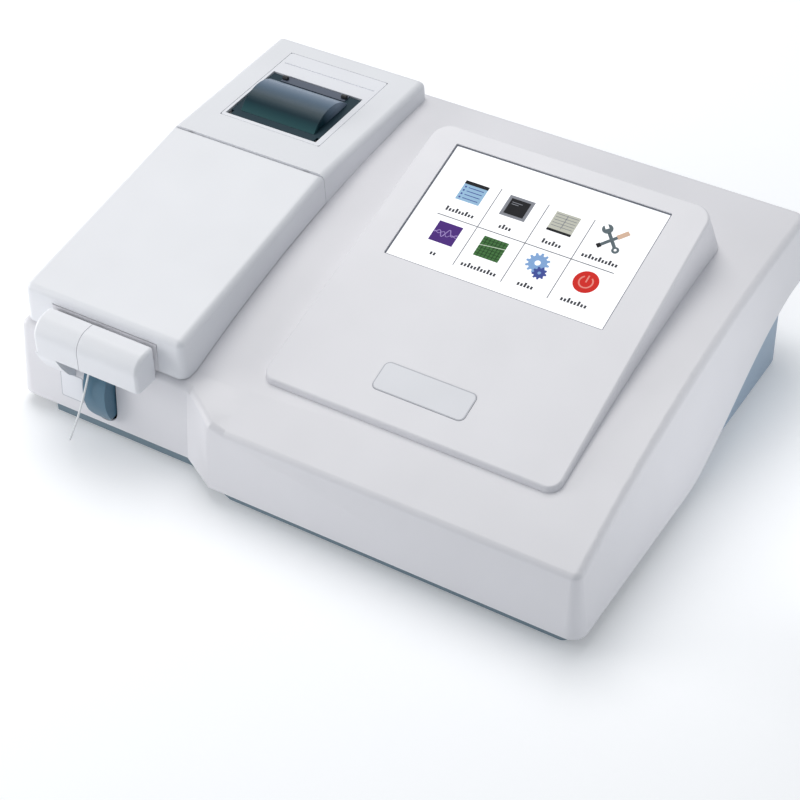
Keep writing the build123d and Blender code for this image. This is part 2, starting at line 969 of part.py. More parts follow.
housing_end = tower_back + margin
housing_solid = round_rim(tower_body(housing_front, housing_end, 0, 0, seat), tower_edge, housing_front)
housing_core = tower_body(housing_front + tower_wall, housing_end, tower_wall, tower_wall, -tower_skirt)
printer_housing = housing_solid - housing_core
printer_housing -= block(
    printer_left - panel_gap, printer_right + panel_gap,
    printer_front - panel_gap, printer_back + panel_gap, frame_z - panel_lip, tower_height + margin)
post_xs = [tower_left + lid_post_inset, tower_right - lid_post_inset - lid_post_width]
for x in post_xs:
    arm_foot = tower_height - hinge_foot
    arm = hinge_post(
        x, x + lid_post_width, lid_axis_back, lid_axis_z, hinge_eye, housing_front + through, arm_foot)
    arm -= rod_x(
        x - through, x + lid_post_width + through, lid_axis_back, lid_axis_z, lid_pin_radius + press_gap)
    printer_housing += arm
save("printer_housing", printer_housing)

lid_solid = round_rim(tower_body(0, lid_back, 0, 0, lid_gap), tower_edge, lid_back)
lid_sides = (tower_left - margin, tower_right + margin)
behind_axis = block(*lid_sides, lid_axis_back, lid_back + margin, lid_axis_z, tower_height + margin)
lid_solid -= behind_axis - rod_x(*lid_sides, lid_axis_back, lid_axis_z, lid_hinge_radius)
lid_core = tower_body(0, lid_back - tower_wall, tower_wall, tower_wall, -tower_skirt)
sample_lid = lid_solid - lid_core
for x in post_xs:
    end = x + lid_post_width
    boss_left, boss_right = x - side_gap - boss_length, end + side_gap + boss_length
    boss = rod_x(boss_left, boss_right, lid_axis_back, lid_axis_z, lid_boss_radius)
    boss += block(
        boss_left, boss_right, lid_axis_back, lid_axis_back + lid_boss_radius / 2,
        lid_axis_z - lid_boss_foot, lid_axis_z)
    sample_lid += boss
    sample_lid -= block(
        x - side_gap, end + side_gap, lid_axis_back - lid_post_reach, lid_back + through,
        lid_axis_z - lid_post_drop, lid_axis_z + hinge_eye)
    sample_lid -= rod_x(x - side_gap, end + side_gap, lid_axis_back, lid_axis_z, hinge_eye + part_gap)
    sample_lid -= rod_x(
        boss_left - side_gap, boss_right + side_gap, lid_axis_back, lid_axis_z, lid_pin_radius + running_gap)
sample_lid -= block(
    riser_left - side_gap, riser_right + side_gap, 0, riser_front + riser_room, below, riser_top + lid_gap)
save("sample_lid", sample_lid)

pins = []
for x in post_xs:
    end = x + lid_post_width
    pins.append(rod_x(x - boss_length, end + boss_length, lid_axis_back, lid_axis_z, lid_pin_radius))

# ---- console ----
def console_top(back, drop=0.0):
    """Height of the console's sloping face, lowered square to itself by drop."""
    return console_front_height + tilt_run * (back - console_front - 1) - drop / math.cos(slope)


console_plane_origin = (screen_centre_x, front_y + screen_centre_back, console_top(screen_centre_back))
console_normal = (0, -math.sin(slope), math.cos(slope))
console_plane = Plane(origin=console_plane_origin, x_dir=(1, 0, 0), z_dir=console_normal)


def on_console(x0, x1, v0, v1, depth0, depth1, corner=0.0):
    """Block laid on the sloping face. v runs up the slope, depth runs into the face."""
    outline = [(x0, v0), (x1, v0), (x1, v1), (x0, v1)]
    plate = extrude(rounded(outline, [corner] * 4), amount=depth1 - depth0)
    return console_plane * Pos(0, 0, -depth1) * plate


def console_body(inset):
    """Solid console wedge, drawn in on every side."""
    base_z = ledge_height - console_sink
    beyond_rear = console_rear_foot + 3 * margin
    outline = [
        (console_left, console_front - 0.5),
        (console_right, console_front - 0.5),
        (console_right, beyond_rear),
        (console_left, beyond_rear),
    ]
    body = tapered(outline, [0] * 4, base_z, crown_height, console_draft, inset)
    ridge_z = console_top(console_ridge)
    rear_run = (console_rear_foot - console_ridge) / (ridge_z - crown(console_rear_foot))
    lean = math.hypot(1, rear_run)
    low = ledge_height - 2 * margin
    ridge = console_ridge - inset * (lean - rear_run * tilt_run) / (1 + rear_run * tilt_run)
    foot = ridge + rear_run * (console_top(ridge, inset) - low)
    points = [
        (0, low),
        (foot, low),
        (ridge, console_top(ridge, inset)),
        (0, console_top(0, inset)),
    ]
    body &= side_plate(console_left - 1, console_right + 1, make_face(Polyline(*points, close=True)))
    rear = []
    front = []
    for edge in body.edges():
        leans = abs((edge @ 0).X - (edge @ 1).X) < margin
        rises = abs((edge @ 0).Z - (edge @ 1).Z)
        if leans and rises > 20 and (edge @ 0.5).Y > front_y + ridge - 1:
            rear.append(edge)
        if rises > 8 and (edge @ 0.5).Y < front_y + console_front + console_front_corner:
            front.append(edge)
    front_middles = [edge @ 0.5 for edge in front]
    body = fillet(rear, console_rear_corner - inset)
    front = [min(body.edges(), key=lambda edge: ((edge @ 0.5) - spot).length) for spot in front_middles]
    return fillet(front, console_front_corner - inset)


def top_area(face):
    """Area of a face, or nothing where the face does not look upwards."""
    return face.area if face.normal_at().Z > 0.9 else 0


console_solid = console_body(0)
top_face = max(console_solid.faces(), key=top_area)
console_solid = fillet(top_face.edges(), console_edge) - under_crown(-seat)
console_bezel = console_solid - console_body(console_wall)
half_w, half_h = screen_width / 2, screen_height / 2
pocket_w, pocket_h = half_w + screen_border, half_h + screen_border
frame_w, frame_h = pocket_w + screen_frame, pocket_h + screen_frame
display_top = screen_recess + glass_thickness
display_low = display_top + display_thickness
foot_depth = display_top + glass_seat
stud_length = display_thickness + stud_past
console_bezel += on_console(-frame_w, frame_w, -frame_h, frame_h, screen_recess, foot_depth)
console_bezel -= on_console(-pocket_w, pocket_w, -pocket_h, pocket_h, screen_recess, foot_depth + margin)
console_bezel -= on_console(-half_w, half_w, -half_h, half_h, -margin, screen_recess + through, screen_corner)
badge_w, badge_h = badge_width / 2, badge_height / 2
console_bezel -= on_console(
    badge_x - badge_w - badge_gap, badge_x + badge_w + badge_gap,
    badge_v - badge_h - badge_gap, badge_v + badge_h + badge_gap,
    -margin, badge_pocket, badge_corner + badge_gap)
stud_w, stud_h = pocket_w + side_gap, pocket_h - stud_inset
for x, v in [(-stud_w, -stud_h), (-stud_w, stud_h), (stud_w, -stud_h), (stud_w, stud_h)]:
    stud = console_plane * Pos(x, v, -foot_depth - stud_length / 2) * Cylinder(stud_radius, stud_length)
    console_bezel += stud - on_console(-pocket_w, pocket_w, -pocket_h, pocket_h, 0, foot_depth + margin)
save("console_bezel", console_bezel)

glass_w, glass_h = pocket_w - part_gap, pocket_h - part_gap
save("touch_panel", on_console(-glass_w, glass_w, -glass_h, glass_h, screen_recess, display_top))
display_w, display_h = half_w + display_side, half_h + display_end
display = on_console(-display_w, display_w, -display_h, display_h, display_top, display_low)
connector_low = connector_rise - half_h
display += on_console(
    -connector_width / 2, connector_width / 2, connector_low, connector_low + connector_height,
    display_low, display_low + connector_depth)
save("lcd_module", display)
brace_top = foot_depth + stud_length
brace_w, brace_h = pocket_w + brace_side, pocket_h - brace_end
gap_w, gap_h = half_w - brace_bar, half_h - brace_end_bar
brace = on_console(-brace_w, brace_w, -brace_h, brace_h, brace_top, brace_top + brace_sheet)
brace -= on_console(-gap_w, gap_w, -gap_h, gap_h, brace_top - through, brace_top + brace_sheet + through)
pad_w, pad_half = half_w - brace_side, brace_pad / 2
for x, v in [(-pad_w, -gap_h), (-pad_w, gap_h), (pad_w, -gap_h), (pad_w, gap_h)]:
    brace += on_console(x - pad_half, x + pad_half, v - pad_half, v + pad_half, display_low, brace_top)
save("display_bracket", brace)
badge = on_console(
    badge_x - badge_w, badge_x + badge_w, badge_v - badge_h, badge_v + badge_h,
    badge_pocket - badge_thickness, badge_pocket, badge_corner)
save("badge_plate", badge)

# ---- sampling hood ----
hood_points = [
    (hood_front, hood_bottom),
    (hood_front, hood_top),
    (hood_rear, hood_top),
    (hood_rear, hood_bottom),
]
hood_face = rounded(hood_points, [0, hood_round, hood_hinge_radius, 0])
inner_top = hood_top - hood_wall
inner_low = hood_bottom - margin
inner_points = [
    (hood_front + hood_wall, inner_low),
    (hood_front + hood_wall, inner_top),
    (hood_axis_back, inner_top),
    (hood_axis_back, hood_axis_z),
    (hood_back + margin, hood_axis_z),
    (hood_back + margin, inner_low),
]
inner_face = rounded(inner_points, [0, hood_round - hood_wall, 0, 0, 0, 0])
split_left = hood_split - cut_gap
split_right = hood_split + cut_gap


def hood_shell(x0, x1, end_x):
    """Solid length of the hood with its outer end softened."""
    body = side_plate(x0, x1, hood_face)
    rim = []
    for edge in body.edges():
        on_end = abs((edge @ 0).X - end_x) < 0.001 and abs((edge @ 1).X - end_x) < 0.001
        middle = edge @ 0.5
        if on_end and middle.Z > hood_bottom + 1 and middle.Y < front_y + hood_rear - 0.01:
            rim.append(edge)
    return fillet(rim, hood_end_edge)


hood_base = hood_shell(hood_left, split_left, hood_left)
hood_base -= side_plate(hood_left + hood_wall, split_left - hood_wall, inner_face)
fairing_points = [
    (hood_front, hood_bottom + 1),
    (hood_front, hood_bottom),
    (hood_front + 4, hood_bottom - 9),
    (hood_front + 10, hood_bottom - 19),
    (hood_back - 3, hood_bottom - hood_fairing),
    (hood_back + 3, hood_bottom - hood_fairing),
    (hood_back + 3, hood_bottom + 1),
]
fairing_right = hood_left + hood_fairing_width
fairing_face = rounded(fairing_points, [0, 0, hood_fairing_round, hood_fairing_round, 0, 0, 0])
fairing_inside = Pos(hood_wall, casing_wall) * rounded(fairing_points, [0] * 7)
fairing = side_plate(hood_left, fairing_right, fairing_face)
fairing -= side_plate(hood_left + hood_wall, fairing_right - hood_wall, fairing_inside)
hood_base += fairing
spine_left = split_left - hood_arm_left
spine_right = hood_right - spine_inset
spine_top = hood_axis_z - hinge_shoulder
hood_base += block(spine_left, spine_right, riser_front - spine_depth, riser_front, ledge_height, spine_top)
hood_posts = [hood_split + hood_arm_left, hood_right - hood_arm_right]
arm_face = (hood_axis_back, hood_axis_z, hood_eye, riser_front - through, ledge_height + hood_drop)
for x in hood_posts:
    hood_base += hinge_post(x, x + hood_arm_width, *arm_face)
half_fitting = fitting_block / 2
hood_base += block(
    sipper_exit_x - half_fitting, sipper_exit_x + half_fitting,
    sipper_exit_back + through, riser_front - through, ledge_height, ledge_height + fitting_block_height)
hood_base -= rod_x(split_right, spine_right, hood_axis_back, hood_axis_z, hood_pin_radius + press_gap)
hood_base -= rod_z(
    sipper_exit_x, sipper_exit_back, ledge_height - margin, ledge_height + margin, fitting_radius + press_gap)
hood_base -= casing_outer + riser
save("hood_base", hood_base)

hood_cover = hood_shell(split_right, hood_right, hood_right)
hood_cover -= side_plate(split_right - 1, hood_right - hood_wall, inner_face)
bar_left = hood_posts[0] + hood_arm_width + hood_arm_gap
bar_right = hood_posts[1] - hood_arm_gap
hood_cover += rod_x(bar_left, bar_right, hood_axis_back, hood_axis_z, hood_eye)
for x in hood_posts:
    room_left, room_right = x - hood_arm_gap, x + hood_arm_width + hood_arm_gap
    hood_cover -= rod_x(room_left, room_right, hood_axis_back, hood_axis_z, hood_eye + part_gap)
    hood_cover -= block(
        room_left, room_right, hood_axis_back, hood_back + through,
        hood_axis_z - margin, hood_axis_z + hood_eye)
pin_hole = hood_pin_radius + running_gap
hood_cover -= rod_x(split_right - 1, spine_right + 2, hood_axis_back, hood_axis_z, pin_hole)
hood_cover -= block(
    split_right, hood_right + 1, hood_axis_back, hood_back + through, inner_low, ledge_height + through)
save("hood_cover", hood_cover)
pin_left = hood_posts[0] - hood_arm_left + side_gap
pin_right = hood_posts[1] + hood_arm_width * 2
pins.append(rod_x(pin_left, pin_right, hood_axis_back, hood_axis_z, hood_pin_radius))

fitting_bottom = ledge_height - fitting_below
fitting = rod_z(sipper_exit_x, sipper_exit_back, fitting_bottom, ledge_height + fitting_above, fitting_radius)
fitting += rod_z(
    sipper_exit_x, sipper_exit_back, fitting_bottom + 1.4, ledge_height - lid_gap, fitting_collar_radius)
save("sipper_fitting", fitting)

route = [
    (sipper_exit_x, sipper_exit_back, fitting_bottom - sipper_sink),
    (-142.3, 8.0, 53.8),
    (-144.3, 4.0, 41.0),
    (-147.0, 1.0, 29.0),
    (-149.4, -3.0, 18.0),
    (-152.0, -7.0, 8.0),
]


def tube(points, radius, bend_share=0.45):
    """Round tube along (x, back, z) points with arcs at the bends. Gives its bend radii and length too."""
    spots = [Vector(x, front_y + back, z) for x, back, z in points]
    runs = [after - before for before, after in zip(spots, spots[1:])]
    bends = []
    for first, second in zip(runs, runs[1:]):
        turn = math.radians(first.get_angle(second))
        bends.append(bend_share * min(first.length, second.length) / math.tan(turn / 2))
    path = FilletPolyline(*spots, radius=bends)
    start = Plane(origin=spots[0], z_dir=runs[0])
    return sweep(start * Circle(radius), path=path), bends, path.length


sipper, sipper_bends, sipper_length = tube(route, sipper_radius)
save("sipper_tube", sipper)
print("sipper tube bends", [round(bend, 1) for bend in sipper_bends], "length", round(sipper_length, 2))
print("sipper tube volume", round(sipper.volume, 3), round(math.pi * sipper_radius**2 * sipper_length, 3))

# ---- start paddle in its slot ----
paddle_left, paddle_right = slot_left + paddle_gap, slot_right - paddle_gap
paddle_top = slot_top - paddle_top_gap
paddle_low = slot_bottom + paddle_low_gap
paddle_rear = pivot[0] - paddle_pivot_drop
crest = (bay_set_back + paddle_gap - paddle_bulge, (paddle_top + paddle_low) / 2)


def paddle_side(inset):
    """Side view of the paddle: a bowed front and a straight back."""
    top = (bay_set_back + 2.2 + inset, paddle_top - inset)
    low = (bay_set_back - 0.4 + inset, paddle_low + inset)
    middle = (crest[0] + inset, crest[1])
    rear = paddle_rear + (5 if inset else 0)
    bow = ThreePointArc(top, middle, low)
    return make_face([bow, *Polyline(low, (rear, low[1]), (rear, top[1]), top).edges()])


paddle = side_plate(paddle_left, paddle_right, paddle_side(0))
paddle &= slot_shape(paddle_left, paddle_right, paddle_low, paddle_top + margin, -2 * margin, 4 * margin)
pocket_left, pocket_right = paddle_left + paddle_wall, paddle_right - paddle_wall
pocket = side_plate(pocket_left, pocket_right, paddle_side(paddle_thickness))
pocket &= slot_shape(
    pocket_left, pocket_right, paddle_low + paddle_wall, paddle_top + margin, -2 * margin, 4 * margin)
paddle -= pocket
for x in (paddle_left, paddle_right - tab_width):
    paddle += block(
        x, x + tab_width, paddle_rear - paddle_thickness, pivot[0],
        pivot[1] - tab_round, pivot[1] + tab_round)
    paddle += rod_x(x, x + tab_width, *pivot, tab_round)
paddle -= rod_x(paddle_left - 1, paddle_right + 1, *pivot, paddle_pin_radius + running_gap)
save("start_paddle", paddle)

bracket_left = paddle_left - bracket_gap - bracket_sheet
bracket_right = paddle_right + bracket_gap + bracket_sheet
bracket_front = pivot[0] - bracket_front_reach
bracket_back = pivot[0] + paddle_pivot_drop
web_front = bracket_back - bracket_sheet
web_top = pivot[1] - hinge_shoulder
foot_top = floor_top + bracket_sheet
bracket = block(bracket_left, bracket_right, web_front, bracket_back, floor_top, web_top)
bracket += block(
    bracket_left, bracket_right, bracket_front, bracket_back + bracket_foot, floor_top, foot_top)
cheek_top = pivot[1] + 2 * bracket_sheet
for x in (bracket_left, bracket_right - bracket_sheet):
    bracket += block(x, x + bracket_sheet, bracket_front, bracket_back, floor_top, cheek_top)
bracket -= rod_x(bracket_left - 1, bracket_right + 1, *pivot, paddle_pin_radius + press_gap)
plunger_x = (slot_left + slot_right) / 2
plunger_z = floor_top + plunger_height
bracket -= rod_y(plunger_x, web_front - 1, bracket_back + 1, plunger_z, plunger_radius + part_gap)
save("paddle_bracket", bracket)
pins.append(rod_x(bracket_left - side_gap, bracket_right + side_gap, *pivot, paddle_pin_radius))

coil_left = plunger_x - coil_length / 2
coil = Helix(pitch=coil_pitch, height=coil_length, radius=coil_radius)
turns = sweep(Plane(origin=coil @ 0, z_dir=coil % 0) * Circle(coil_wire), path=coil)
turns = Pos(coil_left, front_y + pivot[0], pivot[1]) * Rot(0, 90, 0) * turns
leg_back = web_front - coil_wire - seat
leg = rod_z(coil_left, leg_back, pivot[1] - coil_leg, pivot[1] - 3 * coil_wire, coil_wire)
save("paddle_spring", Compound(children=[*turns.solids(), *leg.solids()]))

half_width, half_height = switch_box_width / 2, switch_box_height / 2
switch_box = block(
    plunger_x - half_width, plunger_x + half_width, bracket_back, bracket_back + switch_box_depth,
    plunger_z - half_height, plunger_z + half_height)
switch_box += rod_y(plunger_x, web_front - plunger_travel, bracket_back, plunger_z, plunger_radius)
save("paddle_switch", switch_box)

# ---- strip printer ----
frame = block(printer_left, printer_right, printer_front, printer_back, frame_z, tower_height)
upright = [edge for edge in frame.edges() if abs((edge @ 0).Z - (edge @ 1).Z) > tower_wall / 2]
frame = fillet(upright, panel_corner)
cradle_top = frame_z - panel_flange
frame += block(
    printer_left - panel_lip, printer_right + panel_lip,
    printer_front - panel_lip, printer_back + panel_lip, cradle_top, frame_z)
frame -= block(
    window_left, window_right, window_front, window_back, cradle_top - through, tower_height + through)
frame -= block(
    printer_left + groove_inset, printer_right - groove_inset, groove_back, groove_back + groove_width,
    tower_height - groove_depth, tower_height + through)
save("printer_frame", frame)

outer_left, outer_right = cradle_left - cradle_wall, cradle_right + cradle_wall
cavity = block(cradle_left, cradle_right, cradle_front, cradle_back, roll_centre_height, tower_height)
cavity += rod_x(cradle_left, cradle_right, *roll_centre, cradle_round)
cradle = block(
    outer_left, outer_right, cradle_front - cradle_wall, cradle_back + cradle_wall,
    roll_centre_height, cradle_top)
trough = rod_x(outer_left, outer_right, *roll_centre, cradle_round + cradle_wall)
cradle += trough & block(-reach, reach, 0, casing_depth, 0, roll_centre_height + through)
cradle += block(
    printer_left - through, printer_right + through,
    cradle_front - cradle_rim_front, cradle_back + cradle_rim_back, cradle_top - cradle_rim, cradle_top)
for x0, x1 in ((outer_left, cradle_left), (cradle_right, outer_right)):
    cradle += block(
        x0, x1, cover_axis[0] - lug_radius, cover_axis[0] + lug_radius, cradle_top - through, cover_axis[1])
    cradle += rod_x(x0, x1, *cover_axis, lug_radius)
cradle -= cavity
cradle -= rod_x(cradle_left, cradle_right, *cover_axis, cover_swing + part_gap)
cradle -= rod_x(window_left, window_right, *cover_axis, cover_pin_radius + press_gap)
cradle -= rod_x(window_left, window_right, *roll_centre, spindle_radius + press_gap)
save("printer_cradle", cradle)

roll_left = (dome_left + dome_right - roll_width) / 2
roll_right = roll_left + roll_width
spindle_left, spindle_right = roll_left - spindle_end, roll_right + spindle_end
paper = rod_x(roll_left, roll_right, *roll_centre, roll_radius)
paper -= rod_x(spindle_left, spindle_right, *roll_centre, roll_core_radius)
save("paper_roll", paper)
spindle = rod_x(spindle_left, spindle_right, *roll_centre, roll_core_radius - running_gap)
spindle += rod_x(cradle_left - journal, cradle_right + journal, *roll_centre, spindle_radius)
save("paper_spindle", spindle)

cover = block(cover_left, cover_right, cover_front, window_back - cover_gap, cover_low, cover_top)
knuckle_left, knuckle_right = cradle_left + lug_gap, cradle_right - lug_gap
for x0, x1 in ((cover_left - 1, knuckle_left), (knuckle_right, cover_right + 1)):
    cover -= block(
        x0, x1, cover_front - 1, cover_axis[0] + lug_radius + 2 * part_gap, cover_low - 1, cover_top + 1)
dome_axis = (dome_centre_back, cover_top + dome_rise - dome_radius)
dome_half = math.sqrt(dome_radius**2 - (dome_radius - dome_rise) ** 2)
cover -= block(
    dome_left + side_gap, dome_right - side_gap,
    dome_axis[0] - dome_half + dome_seat, dome_axis[0] + dome_half - dome_seat, cover_low - 1, cover_top + 1)
for x0, x1 in ((knuckle_left, cradle_left + knuckle), (cradle_right - knuckle, knuckle_right)):
    cover += rod_x(x0, x1, *cover_axis, cover_thickness + cut_gap)
ear_left, ear_right = roll_left - platen_play - platen_ear, roll_right + platen_play
for x in (ear_left, ear_right):
    cover += block(
        x, x + platen_ear, platen[0] - platen_ear_radius, platen[0] + platen_ear_radius, platen[1], cover_low)
    cover += rod_x(x, x + platen_ear, *platen, platen_ear_radius)
cover -= rod_x(ear_left - 1, ear_right + platen_ear + 1, *platen, platen_shaft_radius + running_gap)
cover -= rod_x(cradle_left - 1, cradle_right + 1, *cover_axis, cover_pin_radius + running_gap)
save("printer_cover", cover)

dome = rod_x(dome_left, dome_right, *dome_axis, dome_radius)
dome -= rod_x(dome_left + dome_wall, dome_right - dome_wall, *dome_axis, dome_radius - dome_wall)
dome &= block(dome_left - 1, dome_right + 1, window_front, window_back, cover_top, cover_top + dome_radius)
save("printer_dome", dome)
strip_left, strip_right = dome_left + tear_inset, dome_right - tear_inset
tear_front = dome_axis[0] + dome_half + tear_step
tear = block(
    strip_left, strip_right, tear_front, window_back - cover_gap, cover_top, cover_top + tear_height)
save("tear_bar", tear)
roller = rod_x(roll_left + cut_gap, roll_right - cut_gap, *platen, platen_radius)
shaft_left, shaft_right = ear_left - platen_play, ear_right + platen_ear + platen_play
roller += rod_x(shaft_left, shaft_right, *platen, platen_shaft_radius)
save("platen_roller", roller)
pin_length = journal + knuckle - side_gap
for x0 in (cradle_left - journal, cradle_right + journal - pin_length):
    pins.append(rod_x(x0, x0 + pin_length, *cover_axis, cover_pin_radius))
head_top = tower_height - head_drop
head_front = platen[0] + platen_radius + platen_play
head = block(strip_left, strip_right, head_front, cradle_back, head_top - head_height, head_top)
save("print_head", head)

# ---- measuring bay ----
tub = block(bay_left, bay_right, bay_front, bay_back, bay_floor, tower_height) & under_crown(0)
tub -= block(
    bay_left + bay_wall, bay_right - bay_wall, bay_front + bay_wall, bay_back - bay_wall,
    tray_top, tower_height)
tub -= rod_y(beam_x, bay_back - 5, bay_back + 5, beam_height, tray_hole)
tub -= rod_z(pump_x, pump_back, bay_floor - 1, bay_floor + 5, motor_shaft_radius + shaft_play)
for x in (bay_left + leg_inset, bay_right - leg_inset):
    for back in (bay_front + leg_front, bay_back - leg_rear):
        tub += rod_z(x, back, floor_top, bay_floor, leg_radius)
save("compartment_tray", tub)

holder_front = cell_back - holder_half_depth
holder_top = beam_height + holder_rise
holder = block(
    beam_x - holder_half_width, beam_x + holder_half_width,
    holder_front, cell_back + holder_half_depth, tray_top, holder_top)
slot_half = cell_half + cell_play
cell_low = tray_top + cell_seat
cell_top = beam_height + cell_rise
holder -= block(
    beam_x - slot_half, beam_x + slot_half, cell_back - slot_half, cell_back + slot_half, cell_low, cell_top)
holder -= rod_y(beam_x, holder_front - 1, cell_back + holder_half_depth + 1, beam_height, beam_hole)
save("cell_holder", holder)
cell = block(
    beam_x - cell_half, beam_x + cell_half, cell_back - cell_half, cell_back + cell_half, cell_low, cell_top)
cell -= rod_z(beam_x, cell_back, cell_low + cell_seat, cell_top + 1, cell_bore)
save("flow_cell", cell)
detector_front = holder_front - board_thickness
detector = block(
    beam_x - detector_half_width, beam_x + detector_half_width, detector_front, holder_front,
    tray_top, beam_height + detector_rise)
detector += block(
    beam_x - sensor_half, beam_x + sensor_half, detector_front - sensor_depth, detector_front,
    beam_height - sensor_half, beam_height + sensor_half)
save("detector_board", detector)

pump_y = front_y + pump_back
track = pump_roller_orbit + pump_roller_radius + pump_roller_gap
tube_ring = track + pump_tube_radius
rotor_top = pump_rotor_bottom + pump_rotor_height
port = pump_tube_radius + running_gap
head_high = rotor_top + pump_cheek
pump_head = block(
    pump_x - pump_half, pump_x + pump_half, pump_back - pump_half, pump_back + pump_half, tray_top, head_high)
pump_head -= rod_z(pump_x, pump_back, tray_top + pump_cheek, head_high + 1, tube_ring + port)
pump_head -= rod_z(pump_x, pump_back, tray_top - 1, head_high, motor_shaft_radius + shaft_play)
tube_z = pump_rotor_bottom + pump_rotor_height / 2
tube_end = pump_back - pump_tube_reach
for side in (-1, 1):
    tube_x = pump_x + side * tube_ring
    pump_head -= block(tube_x - port, tube_x + port, tube_end, pump_back, tube_z - port, head_high + 1)
save("pump_head", pump_head)
tube_left, tube_right = pump_x - tube_ring, pump_x + tube_ring
loop = [
    Line((tube_left, front_y + tube_end, tube_z), (tube_left, pump_y, tube_z)),
    ThreePointArc(
        (tube_left, pump_y, tube_z), (pump_x, pump_y + tube_ring, tube_z), (tube_right, pump_y, tube_z)),
    Line((tube_right, pump_y, tube_z), (tube_right, front_y + tube_end, tube_z)),
]
start = Plane(origin=loop[0] @ 0, z_dir=(0, 1, 0))
loop_path = Wire([edge for line in loop for edge in line.edges()])
save("pump_tubing", sweep(start * Circle(pump_tube_radius), path=loop_path))
rim_radius = pump_roller_orbit + pump_rotor_rim
rotor = rod_z(pump_x, pump_back, pump_rotor_bottom, pump_rotor_bottom + pump_cheek, rim_radius)
rotor += rod_z(pump_x, pump_back, rotor_top - pump_cheek, rotor_top, rim_radius)
rotor += rod_z(pump_x, pump_back, pump_rotor_bottom, rotor_top, pump_core_radius)
rotor += rod_z(pump_x, pump_back, bay_floor - 5, pump_rotor_bottom, motor_shaft_radius)
barrel_low, barrel_top = pump_rotor_bottom + pump_cheek + part_gap, rotor_top - pump_cheek - part_gap
for number in range(pump_roller_count):
    angle = math.radians(90 + 360 / pump_roller_count * number)
    roller_x = pump_x + pump_roller_orbit * math.cos(angle)
    roller_back = pump_back + pump_roller_orbit * math.sin(angle)
    rotor += rod_z(roller_x, roller_back, pump_rotor_bottom, rotor_top, pump_roller_axle)
    barrel = rod_z(roller_x, roller_back, barrel_low, barrel_top, pump_roller_radius)
    barrel -= rod_z(roller_x, roller_back, pump_rotor_bottom, rotor_top, pump_roller_axle + running_gap)
    save(f"pump_roller_{number + 1}", barrel)
    print("roller", number + 1, round(roller_x, 3), round(front_y + roller_back, 3))
save("pump_rotor", rotor)
pump_motor = rod_z(pump_x, pump_back, bay_floor - pump_motor_length, bay_floor, motor_radius)
shaft_hole = motor_shaft_radius + running_gap
pump_motor -= rod_z(pump_x, pump_back, bay_floor - shaft_grip, bay_floor + 1, shaft_hole)
save("pump_motor", pump_motor)

# ---- optics behind the bay ----
bench_left, bench_right = beam_x - bench_side, wheel_x + bench_side
bench_front, bench_back = bay_back + bench_gap, bay_back + bench_gap + bench_length
bench_z = beam_height - wheel_radius - bench_drop
bench_top = bench_z + bench_plate
plate_front = wheel_front + wheel_thickness + wheel_plate_gap
plate_back = plate_front + wheel_plate
lens_back = bench_front + bench_plate
shaft_end = plate_back + shaft_grip
bench = block(bench_left, bench_right, bench_front, bench_back, bench_z, bench_top)
bench += block(
    wheel_x - wheel_plate_half, wheel_x + wheel_plate_half, plate_front, plate_back,
    bench_z, beam_height + wheel_plate_half)
bench += block(
    bench_left, beam_x + lens_plate_side, bench_front, lens_back, bench_z, beam_height + lens_plate_rise)
bench -= rod_y(wheel_x, plate_front - 1, plate_back + 1, beam_height, motor_shaft_radius * 2)
bench -= rod_y(beam_x, bench_front - 1, lens_back + 1, beam_height, lens_radius + press_gap)
bench -= rod_y(beam_x, plate_front - 1, plate_back + 1, beam_height, lens_radius)
for x in (bench_left + bench_leg_inset, bench_right - bench_leg_inset):
    for back in (bench_front + bench_leg_front, bench_back - bench_leg_rear):
        bench += rod_z(x, back, floor_top, bench_z, leg_radius)
save("optics_bench", bench)
save("condenser_lens", rod_y(beam_x, bench_front, bench_front + lens_thickness, beam_height, lens_radius))

lamp_front = plate_back + lamp_gap
lamp_rear = bench_back - lamp_wall
lamp_left, lamp_right = beam_x - lamp_left_side, beam_x + lamp_right_side
lamp_top = beam_height + lamp_box_rise
lamp_box = block(lamp_left, lamp_right, lamp_front, lamp_rear, bench_top, lamp_top)
lamp_box -= block(
    lamp_left + lamp_wall, lamp_right - lamp_wall, lamp_front + lamp_wall, lamp_rear - lamp_wall,
    bench_top - 1, lamp_top - lamp_wall)
lamp_box -= rod_y(beam_x, lamp_front - 1, lamp_front + lamp_wall + 1, beam_height, lens_radius)
for number in range(fin_count):
    back = lamp_front + fin_start + number * fin_pitch
    lamp_box += block(
        lamp_left - fin_depth, lamp_left, back, back + fin_sheet, bench_top + fin_depth, lamp_top - fin_drop)
save("lamp_housing", lamp_box)
lamp_back = lamp_front + lamp_step
stem_low = bench_top + lamp_base_height
lamp = Pos(beam_x, front_y + lamp_back, beam_height) * Sphere(lamp_bulb_radius)
lamp += rod_z(beam_x, lamp_back, stem_low - 1, beam_height - lamp_bulb_radius / 2, lamp_stem_radius)
lamp += block(
    beam_x - lamp_base_half, beam_x + lamp_base_half, lamp_back - lamp_base_half, lamp_back + lamp_base_half,
    bench_top, stem_low)
save("halogen_lamp", lamp)

